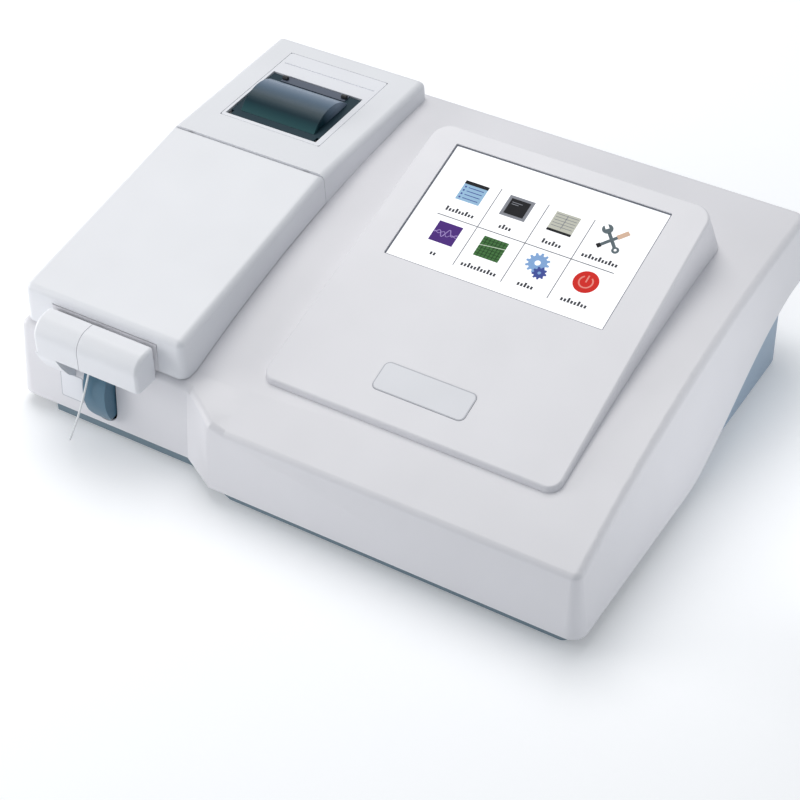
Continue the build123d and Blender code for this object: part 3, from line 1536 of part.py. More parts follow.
wheel_back = wheel_front + wheel_thickness
wheel = rod_y(wheel_x, wheel_front, wheel_back, beam_height, wheel_radius)
hub_front, hub_back = wheel_front - wheel_hub_front, wheel_back + wheel_hub_back
wheel += rod_y(wheel_x, hub_front, hub_back, beam_height, wheel_hub_radius)
wheel += rod_y(wheel_x, wheel_front, shaft_end, beam_height, motor_shaft_radius)
glasses = []
glass_front, glass_back = wheel_front + filter_sink, wheel_back - filter_sink
for number in range(filter_count):
    angle = math.radians(180 + 360 / filter_count * number)
    glass_x = wheel_x + wheel_offset * math.cos(angle)
    glass_z = beam_height + wheel_offset * math.sin(angle)
    wheel -= rod_y(glass_x, wheel_front - 1, wheel_back + 1, glass_z, filter_radius + press_gap)
    glasses.append(rod_y(glass_x, glass_front, glass_back, glass_z, filter_radius))
save("filter_wheel", wheel)
save("filter_glasses", Compound(children=glasses))
stepper = rod_y(wheel_x, plate_back, plate_back + motor_length, beam_height, motor_radius)
stepper -= rod_y(wheel_x, plate_back - 1, shaft_end + shaft_play, beam_height, shaft_hole)
save("filter_motor", stepper)

# ---- electronics on the chassis floor ----
board = block(board_left, board_right, board_front, board_back, board_height, board_top)
chip_front = (board_front + board_back) / 2 - chip_large / 2
chip_left = board_left + board_width / 4
chip_top = board_top + chip_height
for side, chip_start in ((chip_large, chip_left), (chip_small, chip_left + 1.5 * chip_large)):
    board += block(chip_start, chip_start + side, chip_front, chip_front + side, board_top, chip_top)
plug_front = board_front + board_width / 12
for plug_left in (board_left + standoff_inset * 2, board_right - plug_width - standoff_inset * 4):
    board += block(
        plug_left, plug_left + plug_width, plug_front, plug_front + plug_depth,
        board_top, board_top + plug_height)
for number in range(capacitor_count):
    x = board_right - (number + 1.5) * capacitor_pitch
    board += rod_z(x, board_back - capacitor_pitch, board_top, board_top + capacitor_height, capacitor_radius)
standoffs = []
for x in (board_left + standoff_inset, board_right - standoff_inset):
    for back in (board_front + standoff_inset, board_back - standoff_inset):
        standoffs.append(rod_z(x, back, floor_top, board_height, standoff_radius))
supply_right = casing_half - supply_side
supply_left = supply_right - supply_width
supply_back = casing_depth - supply_rear
supply_front = supply_back - supply_depth
supply = block(supply_left, supply_right, supply_front, supply_back, floor_top, supply_top)
for number in range(vent_count):
    x = supply_left + vent_inset + number * vent_pitch
    supply -= block(
        x, x + vent_width, supply_front + vent_inset, supply_back - vent_inset,
        supply_top - vent_depth, supply_top + 1)
save("power_supply", supply)
io_front = panel_front - through - io_depth
io_low = io_height - board_thickness
io_board = block(socket_x - io_left, serial_x + io_right, io_front, panel_front - through, io_low, io_height)
save("main_board", Compound(children=[*board.solids(), *io_board.solids()]))
for x in (socket_x - io_left + standoff_inset, serial_x + io_right - standoff_inset):
    for back in (io_front + standoff_inset, panel_front - through - standoff_inset):
        standoffs.append(rod_z(x, back, floor_top, io_low, standoff_radius))
save("board_standoffs", Compound(children=standoffs))


# ---- rear panel fittings ----
def panel_block(x, z, half_wide, half_tall, back0, back1):
    """Block centred on a place of the rear panel."""
    return block(x - half_wide, x + half_wide, back0, back1, z - half_tall, z + half_tall)


face_back = chassis_back + flange_depth
row = rear_row_height
wide, tall = inlet_width / 2, inlet_height / 2
well_front = face_back - well_depth
inlet = panel_block(inlet_x, row, wide, tall, panel_front - inlet_reach, chassis_back)
inlet += panel_block(inlet_x, row, wide + inlet_flange, tall + inlet_flange, chassis_back, face_back)
inlet -= panel_block(inlet_x, row, well_half_width, well_half_height, well_front, face_back + 1)
for x, z in (
        (inlet_x - blade_pin_spread, row - blade_pin_fall), (inlet_x, row + blade_pin_rise),
        (inlet_x + blade_pin_spread, row - blade_pin_fall)):
    inlet += panel_block(x, z, 1, 2, well_front - 1, well_front - 1 + blade_pin_reach)
save("power_inlet", inlet)

wide, tall = switch_width / 2, switch_height / 2
rocker_axis = (chassis_back - rocker_depth, row)
rocker_left, rocker_right = switch_x - rocker_half_width, switch_x + rocker_half_width
switch = panel_block(switch_x, row, wide, tall, panel_front - switch_reach, chassis_back)
switch += panel_block(switch_x, row, wide + switch_flange, tall + switch_flange, chassis_back, face_back)
switch -= panel_block(
    switch_x, row, rocker_half_width + rocker_play, rocker_half_height + rocker_room,
    panel_front - switch_well, face_back + 1)
pin_reach = 2 * rocker_pin_radius
switch -= rod_x(
    rocker_left - pin_reach, rocker_right + pin_reach, *rocker_axis, rocker_pin_radius + press_gap)
save("switch_housing", switch)
rocker_points = [
    (-rocker_tail, -rocker_tail_half),
    (rocker_reach, -rocker_end_half),
    (rocker_reach - rocker_hollow, 0),
    (rocker_reach, rocker_end_half),
    (-rocker_tail, rocker_tail_half),
]
rocker_face = Pos(*rocker_axis) * Rot(0, 0, -rocker_tilt) * make_face(Polyline(*rocker_points, close=True))
rocker = side_plate(rocker_left, rocker_right, rocker_face)
rocker -= rod_x(rocker_left - 1, rocker_right + 1, *rocker_axis, rocker_pin_radius + running_gap)
save("power_rocker", rocker)
pin_reach -= side_gap
pins.append(rod_x(rocker_left - pin_reach, rocker_right + pin_reach, *rocker_axis, rocker_pin_radius))
save("hinge_pins", Compound(children=pins))

shell_front = chassis_back - serial_sink
shell_back = chassis_back + plug_shell_reach
inner_half_width = plug_shell_half_width - plug_shell_wall
inner_half_height = plug_shell_half_height - plug_shell_wall
serial = panel_block(
    serial_x, serial_z, serial_width / 2, serial_height / 2, panel_front - serial_reach, shell_front)
serial += panel_block(
    serial_x, serial_z, plug_shell_half_width, plug_shell_half_height, shell_front, shell_back)
serial -= panel_block(
    serial_x, serial_z, inner_half_width, inner_half_height, shell_front - serial_sink, shell_back + 1)
for count, z in ((long_row_count, serial_z + contact_row), (long_row_count - 1, serial_z - contact_row)):
    for number in range(count):
        x = serial_x + contact_pitch * (number - (count - 1) / 2)
        serial += rod_y(x, shell_front - 1, chassis_back + contact_reach, z, contact_radius)
for x in (serial_x - nut_spread, serial_x + nut_spread):
    serial += rod_y(x, shell_front - serial_sink, chassis_back + nut_reach, serial_z, nut_radius)
save("serial_port", serial)
data_port = panel_block(
    socket_x, socket_z, socket_width / 2, socket_height / 2,
    panel_front - socket_reach, chassis_back + serial_sink)
data_port -= panel_block(
    socket_x, socket_z, socket_half_width, socket_half_height, chassis_back - socket_depth, chassis_back + 1)
data_port += panel_block(
    socket_x, socket_z, tongue_half_width, tongue_half_height,
    chassis_back - socket_depth - 1, chassis_back - 1)
save("data_port", data_port)

fan_front = panel_front - fan_depth
fan_bore = fan_half - fan_rim
bore_length = fan_bore - fan_hub
strut_middle = (fan_hub + fan_bore) / 2
fan_frame = panel_block(fan_x, fan_z, fan_half, fan_half, fan_front, panel_front)
fan_frame -= rod_y(fan_x, fan_front - 1, panel_front + 1, fan_z, fan_bore)
fan_frame += rod_y(fan_x, fan_front, fan_front + strut_depth, fan_z, fan_hub)
for number in range(strut_count):
    strut = Pos(0, 0, strut_middle) * Box(strut_width, strut_depth, bore_length + 2)
    turn = Rot(0, 90 + 360 / strut_count * number, 0)
    fan_frame += Pos(fan_x, front_y + fan_front + strut_depth / 2, fan_z) * turn * strut
fan_frame += rod_y(fan_x, fan_front, panel_front - 2, fan_z, fan_axle_radius)
save("fan_frame", fan_frame)
rotor_front = fan_front + strut_depth + hub_gap
rotor_back = panel_front - 2 * hub_gap
fan_rotor = rod_y(fan_x, rotor_front, rotor_back, fan_z, fan_hub)
rotor_place = Pos(fan_x, front_y + (rotor_front + rotor_back) / 2, fan_z)
for number in range(blade_count):
    blade = Pos(0, 0, strut_middle - 1) * Rot(0, 0, blade_twist)
    blade *= Box(blade_width, blade_sheet, bore_length - 1)
    fan_rotor += rotor_place * Rot(0, 360 / blade_count * number, 0) * blade
fan_rotor -= rod_y(fan_x, rotor_front - 1, panel_front - 1.9, fan_z, fan_axle_radius + running_gap)
save("fan_rotor", fan_rotor)
guard_back = chassis_back + guard_wire
guard_rings = [guard_inner_ring + guard_ring_step * number for number in range(guard_ring_count)] + [fan_half]
guard_place = Pos(fan_x, front_y + guard_back, fan_z)
bars = guard_place * Rot(90, 0, 0) * Torus(guard_rings[0], guard_wire)
for ring in guard_rings[1:]:
    bars += guard_place * Rot(90, 0, 0) * Torus(ring, guard_wire)
for number in range(spoke_count):
    spoke = Pos(0, 0, (fan_half + guard_inner_ring) / 2) * Cylinder(guard_wire, fan_half - guard_inner_ring)
    bars += guard_place * Rot(0, 360 / spoke_count * (number + 0.5), 0) * spoke
save("fan_guard", bars)

drain_front, drain_end = panel_front - drain_tail, chassis_back + drain_reach
barb = rod_y(drain_x, drain_front, drain_end, row, drain_radius)
barb += rod_y(drain_x, chassis_back, chassis_back + drain_flange, row, drain_radius + drain_flange)
barb += rod_y(drain_x, panel_front - drain_nut_depth, panel_front, row, drain_radius + drain_nut)
for number in range(drain_ridge_count):
    ridge = Cone(drain_radius, drain_radius + drain_ridge, 2.0)
    ridge_back = chassis_back + drain_ridge_start + drain_ridge_pitch * number
    barb += Pos(drain_x, front_y + ridge_back, row) * Rot(90, 0, 0) * ridge
barb -= rod_y(drain_x, drain_front - 1, drain_end + 1, row, drain_bore)
save("drain_fitting", barb)
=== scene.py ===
"""Looks of a benchtop chemistry analyzer: a moulded casing on a blue-grey tray, a covered
measuring bay with a strip printer behind it, and a raised console with a touch screen.
Lengths are in metres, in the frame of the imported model."""

import json
import math

import bmesh
import bpy
import numpy as np
from mathutils import Matrix, Vector


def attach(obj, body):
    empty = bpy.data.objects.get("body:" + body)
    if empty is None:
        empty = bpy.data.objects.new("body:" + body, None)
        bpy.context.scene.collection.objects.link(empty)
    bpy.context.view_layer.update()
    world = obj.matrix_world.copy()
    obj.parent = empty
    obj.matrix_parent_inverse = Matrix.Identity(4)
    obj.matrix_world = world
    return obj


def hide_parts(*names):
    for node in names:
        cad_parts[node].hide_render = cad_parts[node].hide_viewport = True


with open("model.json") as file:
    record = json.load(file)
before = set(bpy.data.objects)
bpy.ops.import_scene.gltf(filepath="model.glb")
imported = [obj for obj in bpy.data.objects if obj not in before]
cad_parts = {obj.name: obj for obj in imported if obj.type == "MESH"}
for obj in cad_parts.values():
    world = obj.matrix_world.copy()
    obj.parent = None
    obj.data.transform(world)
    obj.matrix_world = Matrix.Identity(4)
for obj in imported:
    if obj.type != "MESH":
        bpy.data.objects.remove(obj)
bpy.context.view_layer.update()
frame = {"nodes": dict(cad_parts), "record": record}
bodies = frame["record"]["behaviour"]["bodies"]
body_of_node = {node: body for body, nodes in bodies.items() for node in nodes}
slot_of_node = {part["node"]: part["material_slot"] for part in frame["record"]["subparts"]}

MM = 0.001
FRONT = -0.16418

# ---- camera ----
CAMERA_AZIMUTH = math.radians(32.36)
CAMERA_ELEVATION = math.radians(41.37)
CAMERA_ROLL = math.radians(-1.54)
CAMERA_PLACE = Vector((0.5589, -0.7346 + FRONT, 0.9106))
CAMERA_LENS = 94.81


def make_camera():
    """Camera looking down and to the left. Its axes are right, up and back, turned by the roll."""
    turn, lift = CAMERA_AZIMUTH, CAMERA_ELEVATION
    right = Vector((math.cos(turn), math.sin(turn), 0))
    up = Vector((-math.sin(turn) * math.sin(lift), math.cos(turn) * math.sin(lift), math.cos(lift)))
    ahead = Vector((-math.sin(turn) * math.cos(lift), math.cos(turn) * math.cos(lift), -math.sin(lift)))
    rolled_right = right * math.cos(CAMERA_ROLL) + up * math.sin(CAMERA_ROLL)
    rolled_up = up * math.cos(CAMERA_ROLL) - right * math.sin(CAMERA_ROLL)
    data = bpy.data.cameras.new("camera")
    data.lens = CAMERA_LENS
    data.sensor_width = 36
    data.clip_end = 20
    camera = bpy.data.objects.new("camera", data)
    bpy.context.scene.collection.objects.link(camera)
    axes = Matrix((rolled_right, rolled_up, -ahead)).transposed().to_4x4()
    camera.matrix_world = Matrix.Translation(CAMERA_PLACE) @ axes
    bpy.context.scene.camera = camera


make_camera()


# ---- sipper tube ----
def place(x, back, z):
    """Millimetres to the right, behind the casing's front edge and above the bench, as metres."""
    return Vector((x * MM, back * MM + FRONT, z * MM))


SIPPER_DIAMETER = 0.0014
SIPPER_ROUTE = [
    place(-141.0, 10.0, 62.4),
    place(-142.3, 8.0, 53.8),
    place(-144.3, 4.0, 41.0),
    place(-147.0, 1.0, 29.0),
    place(-149.4, -3.0, 18.0),
    place(-152.0, -7.0, 8.0),
]


def make_tube(name, route, diameter):
    """Round tube on a smooth curve that has the route as its control points.

    The depth is 1, so that each point's radius is the tube's own, and the piece's box is as big as the tube.
    """
    curve = bpy.data.curves.new(name, "CURVE")
    curve.dimensions = "3D"
    curve.bevel_depth = 1.0
    curve.bevel_resolution = 4
    curve.resolution_u = 12
    curve.use_fill_caps = True
    spline = curve.splines.new("NURBS")
    spline.points.add(len(route) - 1)
    for point, spot in zip(spline.points, route):
        point.co = (*spot, 1)
        point.radius = diameter / 2
    spline.order_u = 3
    spline.use_endpoint_u = True
    piece = bpy.data.objects.new(name, curve)
    bpy.context.scene.collection.objects.link(piece)
    return piece


sipper = make_tube("sipper_line", SIPPER_ROUTE, SIPPER_DIAMETER)
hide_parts("sipper_tube")
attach(sipper, "housing")


# ---- finishes ----
def tone(red, green, blue):
    """Colour from three 0 to 255 values, as Blender's linear numbers."""
    shares = np.array((red, green, blue)) / 255
    linear = np.where(shares <= 0.04045, shares / 12.92, ((shares + 0.055) / 1.055) ** 2.4)
    return (*linear.tolist(), 1.0)


class Finish:
    """A node material under construction."""

    def __init__(self, name):
        self.material = bpy.data.materials.new(name)
        self.material.use_nodes = True
        self.nodes = self.material.node_tree.nodes
        self.links = self.material.node_tree.links
        self.shader = self.nodes["Principled BSDF"]
        self.place = self.nodes.new("ShaderNodeTexCoord").outputs["Object"]

    def set(self, **values):
        """Sets the shader's own sockets."""
        for name, value in values.items():
            self.shader.inputs[SOCKETS[name]].default_value = value
        return self

    def noise(self, scale, detail=3.0, roughness=0.5):
        """Cloudy value between 0 and 1, finer as scale grows."""
        node = self.nodes.new("ShaderNodeTexNoise")
        node.inputs["Scale"].default_value = scale
        node.inputs["Detail"].default_value = detail
        node.inputs["Roughness"].default_value = roughness
        self.links.new(self.place, node.inputs["Vector"])
        return node.outputs["Fac"]

    def ramp(self, value, stops):
        """Colours along a value, as (position, colour) stops."""
        node = self.nodes.new("ShaderNodeValToRGB")
        while len(node.color_ramp.elements) < len(stops):
            node.color_ramp.elements.new(0.5)
        for element, (position, colour) in zip(node.color_ramp.elements, stops):
            element.position = position
            element.color = colour
        self.links.new(value, node.inputs["Fac"])
        return node.outputs["Color"]

    def spread(self, value, low, high):
        """Value from 0 to 1 stretched to low to high."""
        node = self.nodes.new("ShaderNodeMapRange")
        node.inputs["To Min"].default_value = low
        node.inputs["To Max"].default_value = high
        self.links.new(value, node.inputs["Value"])
        return node.outputs["Result"]

    def depth(self, front, back):
        """Value that goes from 0 at the front to 1 at the back."""
        split = self.nodes.new("ShaderNodeSeparateXYZ")
        self.links.new(self.place, split.inputs["Vector"])
        node = self.nodes.new("ShaderNodeMapRange")
        node.inputs["From Min"].default_value = front
        node.inputs["From Max"].default_value = back
        self.links.new(split.outputs["Y"], node.inputs["Value"])
        return node.outputs["Result"]

    def colour(self, output):
        self.links.new(output, self.shader.inputs["Base Color"])
        return self

    def rough(self, output):
        self.links.new(output, self.shader.inputs["Roughness"])
        return self

    def bump(self, value, strength, distance):
        """Small relief from a value."""
        node = self.nodes.new("ShaderNodeBump")
        node.inputs["Strength"].default_value = strength
        node.inputs["Distance"].default_value = distance
        self.links.new(value, node.inputs["Height"])
        self.links.new(node.outputs["Normal"], self.shader.inputs["Normal"])
        return self


SOCKETS = {"metallic": "Metallic", "roughness": "Roughness", "alpha": "Alpha", "ior": "IOR",
           "specular": "Specular IOR Level", "glow": "Emission Color", "glow_strength": "Emission Strength"}


def span(node):
    """Lowest and highest corner of a node, as two rows of x, y and z."""
    corners = np.array([corner[:] for corner in frame["nodes"][node].bound_box])
    return np.array([corners.min(axis=0), corners.max(axis=0)])


def shade(colour, factor):
    """The colour made lighter or darker."""
    return (*[min(1.0, channel * factor) for channel in colour[:3]], 1.0)


def cloudy(finish, colour, value, darker, lighter):
    """Lets the colour wander between a darker and a lighter share of itself."""
    return finish.colour(finish.ramp(value, [(0.3, shade(colour, darker)), (0.7, shade(colour, lighter))]))


def moulded(name, colour, roughness=0.42, grain=900.0, relief=0.00004, variation=0.02):
    """Moulded plastic: a fine spark-eroded grain, faint cloudiness, and gloss that wanders a little."""
    finish = Finish(name)
    cloudy(finish, colour, finish.noise(14, 2.0), 1 - variation, 1 + variation)
    finish.rough(finish.spread(finish.noise(40, 2.0), roughness - 0.05, roughness + 0.05))
    finish.bump(finish.noise(grain, 2.0, 0.6), 0.25, relief)
    return finish


def metal(name, colour, roughness=0.3, grain=600.0):
    """Bare metal with a fine directionless grain."""
    finish = Finish(name).set(metallic=1.0)
    cloudy(finish, colour, finish.noise(60, 3.0), 0.93, 1.04)
    finish.rough(finish.spread(finish.noise(90, 3.0), roughness - 0.08, roughness + 0.08))
    finish.bump(finish.noise(grain, 2.0), 0.15, 0.00002)
    return finish


def painted(name, colour, roughness=0.5):
    """Powder coat: an orange-peel surface."""
    finish = Finish(name)
    cloudy(finish, colour, finish.noise(25, 2.0), 0.96, 1.04)
    finish.rough(finish.spread(finish.noise(80, 2.0), roughness - 0.06, roughness + 0.06))
    finish.bump(finish.noise(1400, 3.0), 0.3, 0.00003)
    return finish


def clear(name, colour, alpha, roughness=0.05):
    """Clear or tinted plastic or glass, seen through by its alpha."""
    finish = Finish(name).set(roughness=roughness, alpha=alpha, ior=1.5)
    cloudy(finish, colour, finish.noise(30, 1.0), 0.96, 1.04)
    return finish


casing_white = moulded("casing_white", tone(226, 225, 229))
tower_white = moulded("tower_white", tone(230, 231, 235))
console_white = moulded("console_white", tone(229, 228, 232))
frame_white = moulded("frame_white", tone(232, 233, 238))
chassis_blue = painted("chassis_blue", tone(134, 152, 164))
# Painted shade: the tray's colour darkens towards the front, standing in for the shade under the casing's
# overhang, and lightens towards the back.
chassis_blue.colour(chassis_blue.ramp(chassis_blue.depth(-0.15, -0.02), [(0, tone(104, 124, 136)),
                                                                         (1, tone(152, 170, 188))]))
black_plastic = moulded("black_plastic", tone(34, 36, 38), roughness=0.5, relief=0.00005, variation=0.1)
rubber = moulded("foot_rubber", tone(30, 30, 31), roughness=0.75, relief=0.0001, variation=0.12)
steel = metal("bright_steel", tone(196, 198, 200))
milled = metal("milled_aluminium", tone(190, 193, 196), roughness=0.38)
dark_metal = painted("dark_sheet_metal", tone(52, 55, 58))
board_green = moulded("board_green", tone(24, 88, 58), roughness=0.35, variation=0.08)
paddle_blue = moulded("paddle_blue", tone(72, 110, 132), roughness=0.3, variation=0.05)
badge_grey = moulded("badge_grey", tone(222, 223, 228), roughness=0.4, variation=0.03)
badge_rim = moulded("badge_rim", tone(186, 188, 195), roughness=0.45)
paper_white = moulded("paper_white", tone(240, 240, 234), roughness=0.85, grain=2500, variation=0.02)
smoke = moulded("smoke_plastic", tone(30, 60, 70), roughness=0.34, relief=0.00001).set(specular=0.25)
DOME_DEPTH = span("printer_dome")[:, 1]
# Painted light on the dome: the colour runs along its depth, and the light bands towards the back are a
# painted reflection of the sky. The dark band just behind the front edge is painted shade, and the lighter
# teal at the very front is a painted glow from below.
smoke.colour(smoke.ramp(smoke.depth(*DOME_DEPTH), [(0.0, tone(44, 84, 88)), (0.16, tone(10, 42, 52)),
                                                   (0.3, tone(18, 50, 62)), (0.52, tone(92, 110, 128)),
                                                   (0.75, tone(136, 150, 168)), (1.0, tone(120, 134, 152))]))
slate = moulded("slate_plastic", tone(12, 46, 58), roughness=0.5, relief=0.00002, variation=0.06)
slate.set(specular=0.3)
clear_glass = clear("clear_glass", tone(222, 234, 238), 0.3)
amber_glass = clear("amber_glass", tone(190, 140, 70), 0.7)
tube_plastic = clear("tube_plastic", tone(240, 242, 243), 0.9, 0.3)
screen_glass = clear("screen_glass", tone(238, 240, 244), 1.0, 0.12)

finish_of_slot = {
    "casing_white": casing_white,
    "lid_grey": tower_white,
    "chassis_blue": chassis_blue,
    "rubber_black": rubber,
    "steel": steel,
    "screen_glass": screen_glass,
    "dark_metal": dark_metal,
    "board_green": board_green,
    "paddle_blue": paddle_blue,
    "badge_silver": badge_grey,
    "smoke_plastic": smoke,
    "paper": paper_white,
    "black_plastic": black_plastic,
    "clear_glass": clear_glass,
    "colour_glass": amber_glass,
    "tube_clear": tube_plastic,
    "aluminium": milled,
    "frame_grey": frame_white,
}
bar_plastic = moulded("bar_plastic", tone(84, 92, 108), roughness=0.4, relief=0.00002, variation=0.06)
finish_of_node = {"console_bezel": console_white, "printer_cover": slate, "printer_frame": frame_white,
                  "tear_bar": bar_plastic}
sipper.data.materials.append(tube_plastic.material)


# ---- skins over the solids ----
def add_piece(name, mesh, body, slot, *replaced):
    """Links a mesh as a piece that rides on a body."""
    piece = bpy.data.objects.new(name, mesh)
    bpy.context.scene.collection.objects.link(piece)
    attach(piece, body)
    if replaced:
        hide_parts(*replaced)
    return piece


MERGE_DISTANCE = 0.000002
FLAT_ANGLE = math.radians(0.3)
EDGE_ANGLE = math.radians(28)
BEVEL_ANGLE = math.radians(40)


def dress(node, soften):
    """Smooth skin with a node's own shape: its triangles joined, flat areas made one face,
    shading broken only at real edges, and those edges softened by a small bevel."""
    mesh = frame["nodes"][node].data.copy()
    mesh.name = node + "_skin"
    work = bmesh.new()
    work.from_mesh(mesh)
    bmesh.ops.remove_doubles(work, verts=work.verts, dist=MERGE_DISTANCE)
    bmesh.ops.dissolve_limit(work, angle_limit=FLAT_ANGLE, verts=work.verts, edges=work.edges)
    work.to_mesh(mesh)
    work.free()
    mesh.shade_smooth()
    mesh.set_sharp_from_angle(angle=EDGE_ANGLE)
    mesh.materials.clear()
    mesh.materials.append(finish_for(node).material)
    piece = add_piece(node + "_skin", mesh, body_of_node[node], slot_of_node[node], node)
    if soften:
        bevel = piece.modifiers.new("softened edges", "BEVEL")
        bevel.width = soften
        bevel.segments = 2
        bevel.limit_method = "ANGLE"
        bevel.angle_limit = BEVEL_ANGLE
        bevel.harden_normals = True
    steady = piece.modifiers.new("even shading", "WEIGHTED_NORMAL")
    steady.mode = "FACE_AREA"
    steady.weight = 50
    steady.keep_sharp = True
    return piece


def finish_for(node):
    return finish_of_node.get(node) or finish_of_slot[slot_of_node[node]]


softened_by = {
    "upper_shell": 0.0,
    "base_chassis": 0.0003,
    "rubber_feet": 0.0003,
    "console_bezel": 0.0004,
    "sample_lid": 0.0003,
    "printer_housing": 0.0003,
    "hood_base": 0.0006,
    "hood_cover": 0.0006,
    "start_paddle": 0.0006,
    "printer_frame": 0.0003,
    "printer_cover": 0.0002,
    "printer_dome": 0.0002,
    "tear_bar": 0.0001,
    "sipper_fitting": 0.0001,
}
for node, piece in frame["nodes"].items():
    if node in softened_by:
        dress(node, softened_by[node])
    elif node not in ("sipper_tube", "touch_panel", "badge_plate"):
        piece.data.materials.clear()
        piece.data.materials.append(finish_for(node).material)


# ---- screen page ----
SCREEN_TILT = math.radians(16.75)
SCREEN_MIDDLE = place(64.5, 198.6, 119.08)
SCREEN_UP = Vector((0, math.cos(SCREEN_TILT), math.sin(SCREEN_TILT)))
SCREEN_OUT = Vector((0, -math.sin(SCREEN_TILT), math.cos(SCREEN_TILT)))
OPENING = (154.1, 96.0)
GLASS = (165.5, 107.4, 1.8)
GLASS_DEPTH = -1.3
INK_LAYER = 0.07


class Page:
    """Flat shapes laid on the console's sloping face, in millimetres across, up and out of it."""

    def __init__(self):
        self.spots, self.faces, self.inks, self.finishes = [], [], [], []

    def slab(self, outline, low, high, finish):
        """Prism on an outline of points about the screen's middle, between two heights."""
        flat = np.asarray(outline, float)
        area = np.sum(flat[:, 0] * np.roll(flat[:, 1], -1) - flat[:, 1] * np.roll(flat[:, 0], -1))
        if area < 0:
            flat = flat[::-1]
        count, first = len(flat), sum(map(len, self.spots))
        axes = np.array([(1, 0, 0), SCREEN_UP, SCREEN_OUT])
        for height in (low, high):
            local = np.column_stack((flat, np.full(count, height)))
            self.spots.append(local @ axes * MM + np.array(SCREEN_MIDDLE))
        if finish not in self.finishes:
            self.finishes.append(finish)
        below = [first + i for i in range(count)]
        above = [first + count + i for i in range(count)]
        sides = [(below[i - 1], below[i], above[i], above[i - 1]) for i in range(count)]
        self.faces += [above, below[::-1], *sides]
        self.inks += [self.finishes.index(finish)] * (count + 2)

    def ink(self, outline, finish, layer=1):
        """Printed shape, measured from the opening's lower left corner. High layers lie over low ones."""
        middle = np.array(OPENING) / 2
        self.slab(np.asarray(outline, float) - middle, GLASS_DEPTH, GLASS_DEPTH + INK_LAYER * layer, finish)

    def done(self, name, body, slot, *replaced):
        mesh = bpy.data.meshes.new(name)
        mesh.from_pydata(np.concatenate(self.spots).tolist(), [], self.faces)
        mesh.polygons.foreach_set("material_index", self.inks)
        for finish in self.finishes:
            mesh.materials.append(finish.material)
        return add_piece(name, mesh, body, slot, *replaced)


def oblong(u, v, width, height, turn=0.0):
    """Rectangle about its middle."""
    corners = np.array([(-1, -1), (1, -1), (1, 1), (-1, 1)]) * (width / 2, height / 2)
    spin = np.array([(math.cos(turn), math.sin(turn)), (-math.sin(turn), math.cos(turn))])
    return corners @ spin + (u, v)


def wheel(u, v, radius, teeth=0, depth=0.0, points=48):
    """Disc, or a gear whose radius is radius + depth where cos(teeth * angle) is positive."""
    angle = np.linspace(0, math.tau, points, endpoint=False)
    reach = radius + depth * np.clip(3 * np.cos(teeth * angle), -1, 1) / 2 * (teeth > 0)
    return np.column_stack((u + reach * np.cos(angle), v + reach * np.sin(angle)))


def ribbon(line, width):
    """Band of a width along a line of points."""
    line = np.asarray(line, float)
    run = np.gradient(line, axis=0)
    side = np.column_stack((-run[:, 1], run[:, 0])) / np.linalg.norm(run, axis=1)[:, None] * width / 2
    return np.concatenate((line + side, (line - side)[::-1]))


def printed(name, *colour):
    """Flat screen colour under glass."""
    finish = Finish(name)
    cloudy(finish, tone(*colour), finish.noise(60, 1.0), 0.97, 1.03)
    finish.rough(finish.spread(finish.noise(200, 1.0), 0.45, 0.55))
    finish.set(specular=0.12)
    return finish


page_white = printed("page_white", 250, 250, 253)
page_white.set(glow=(1, 1, 1, 1), glow_strength=0.35)
line_grey = printed("line_grey", 128, 130, 136)
text_grey = printed("text_grey", 62, 64, 70)
edge_grey = printed("edge_grey", 120, 124, 134)
ink_black = printed("ink_black", 16, 18, 24)
ink_sky = printed("ink_sky", 158, 196, 226)
ink_frame = printed("ink_frame", 142, 144, 152)
ink_cream = printed("ink_cream", 204, 204, 190)
ink_steel = printed("ink_steel", 98, 112, 118)
ink_peach = printed("ink_peach", 226, 190, 164)
ink_purple = printed("ink_purple", 78, 38, 128)
ink_lilac = printed("ink_lilac", 176, 150, 214)
ink_green = printed("ink_green", 66, 118, 60)
ink_leaf = printed("ink_leaf", 34, 76, 34)
ink_pale = printed("ink_pale", 208, 226, 200)
ink_gear = printed("ink_gear", 140, 178, 226)
ink_navy = printed("ink_navy", 66, 82, 160)
ink_red = printed("ink_red", 222, 36, 26)
ink_rose = printed("ink_rose", 248, 150, 138)

ROW_TOP, ROW_LOW = 64.0, 29.0
COLUMNS = (28.8, 61.5, 94.5, 128.0)
CAPTION_DROP = 17.0


def caption(page, u, v, letters):
    """Row of small bars where a word stands under a picture."""
    pitch = 2.3
    for i in range(letters):
        tall = 1.3 * ((i * 5 + letters) % 3 == 0)
        page.ink(oblong(u + (i - (letters - 1) / 2) * pitch, v + tall / 2, 1.45, 2.3 + tall), text_grey)


def draw_list(page, u, v):
    """List with a dark heading and a mark before each row."""
    page.ink(oblong(u, v, 17, 15.5), ink_sky)
    page.ink(oblong(u, v + 6.8, 17, 2.6), ink_black, 2)
    for i in range(4):
        page.ink(oblong(u + 1.2, v + 3.2 - 2.9 * i, 11, 0.5), ink_navy, 2)
        page.ink(oblong(u - 6.4, v + 3.2 - 2.9 * i, 1.2, 1.2), ink_navy, 2)


def draw_monitor(page, u, v):
    """Dark screen in a grey frame, with two short lines on it."""
    page.ink(oblong(u, v, 18, 16.5), ink_frame)
    page.ink(oblong(u, v, 13.6, 12.4), ink_black, 2)
    page.ink(oblong(u - 1.6, v + 3.4, 7.5, 0.45), ink_frame, 3)
    page.ink(oblong(u - 2.6, v + 1.9, 5.0, 0.45), ink_frame, 3)


def draw_sheet(page, u, v):
    """Ruled sheet on a dark base, parted down its middle."""
    page.ink(oblong(u, v, 17, 15.5), ink_cream)
    page.ink(oblong(u, v - 7.0, 17, 1.8), ink_black, 2)
    for i in range(5):
        page.ink(oblong(u, v + 6.0 - 2.3 * i, 15, 0.35), ink_frame, 2)
    page.ink(oblong(u, v + 1.0, 0.4, 11), ink_frame, 2)


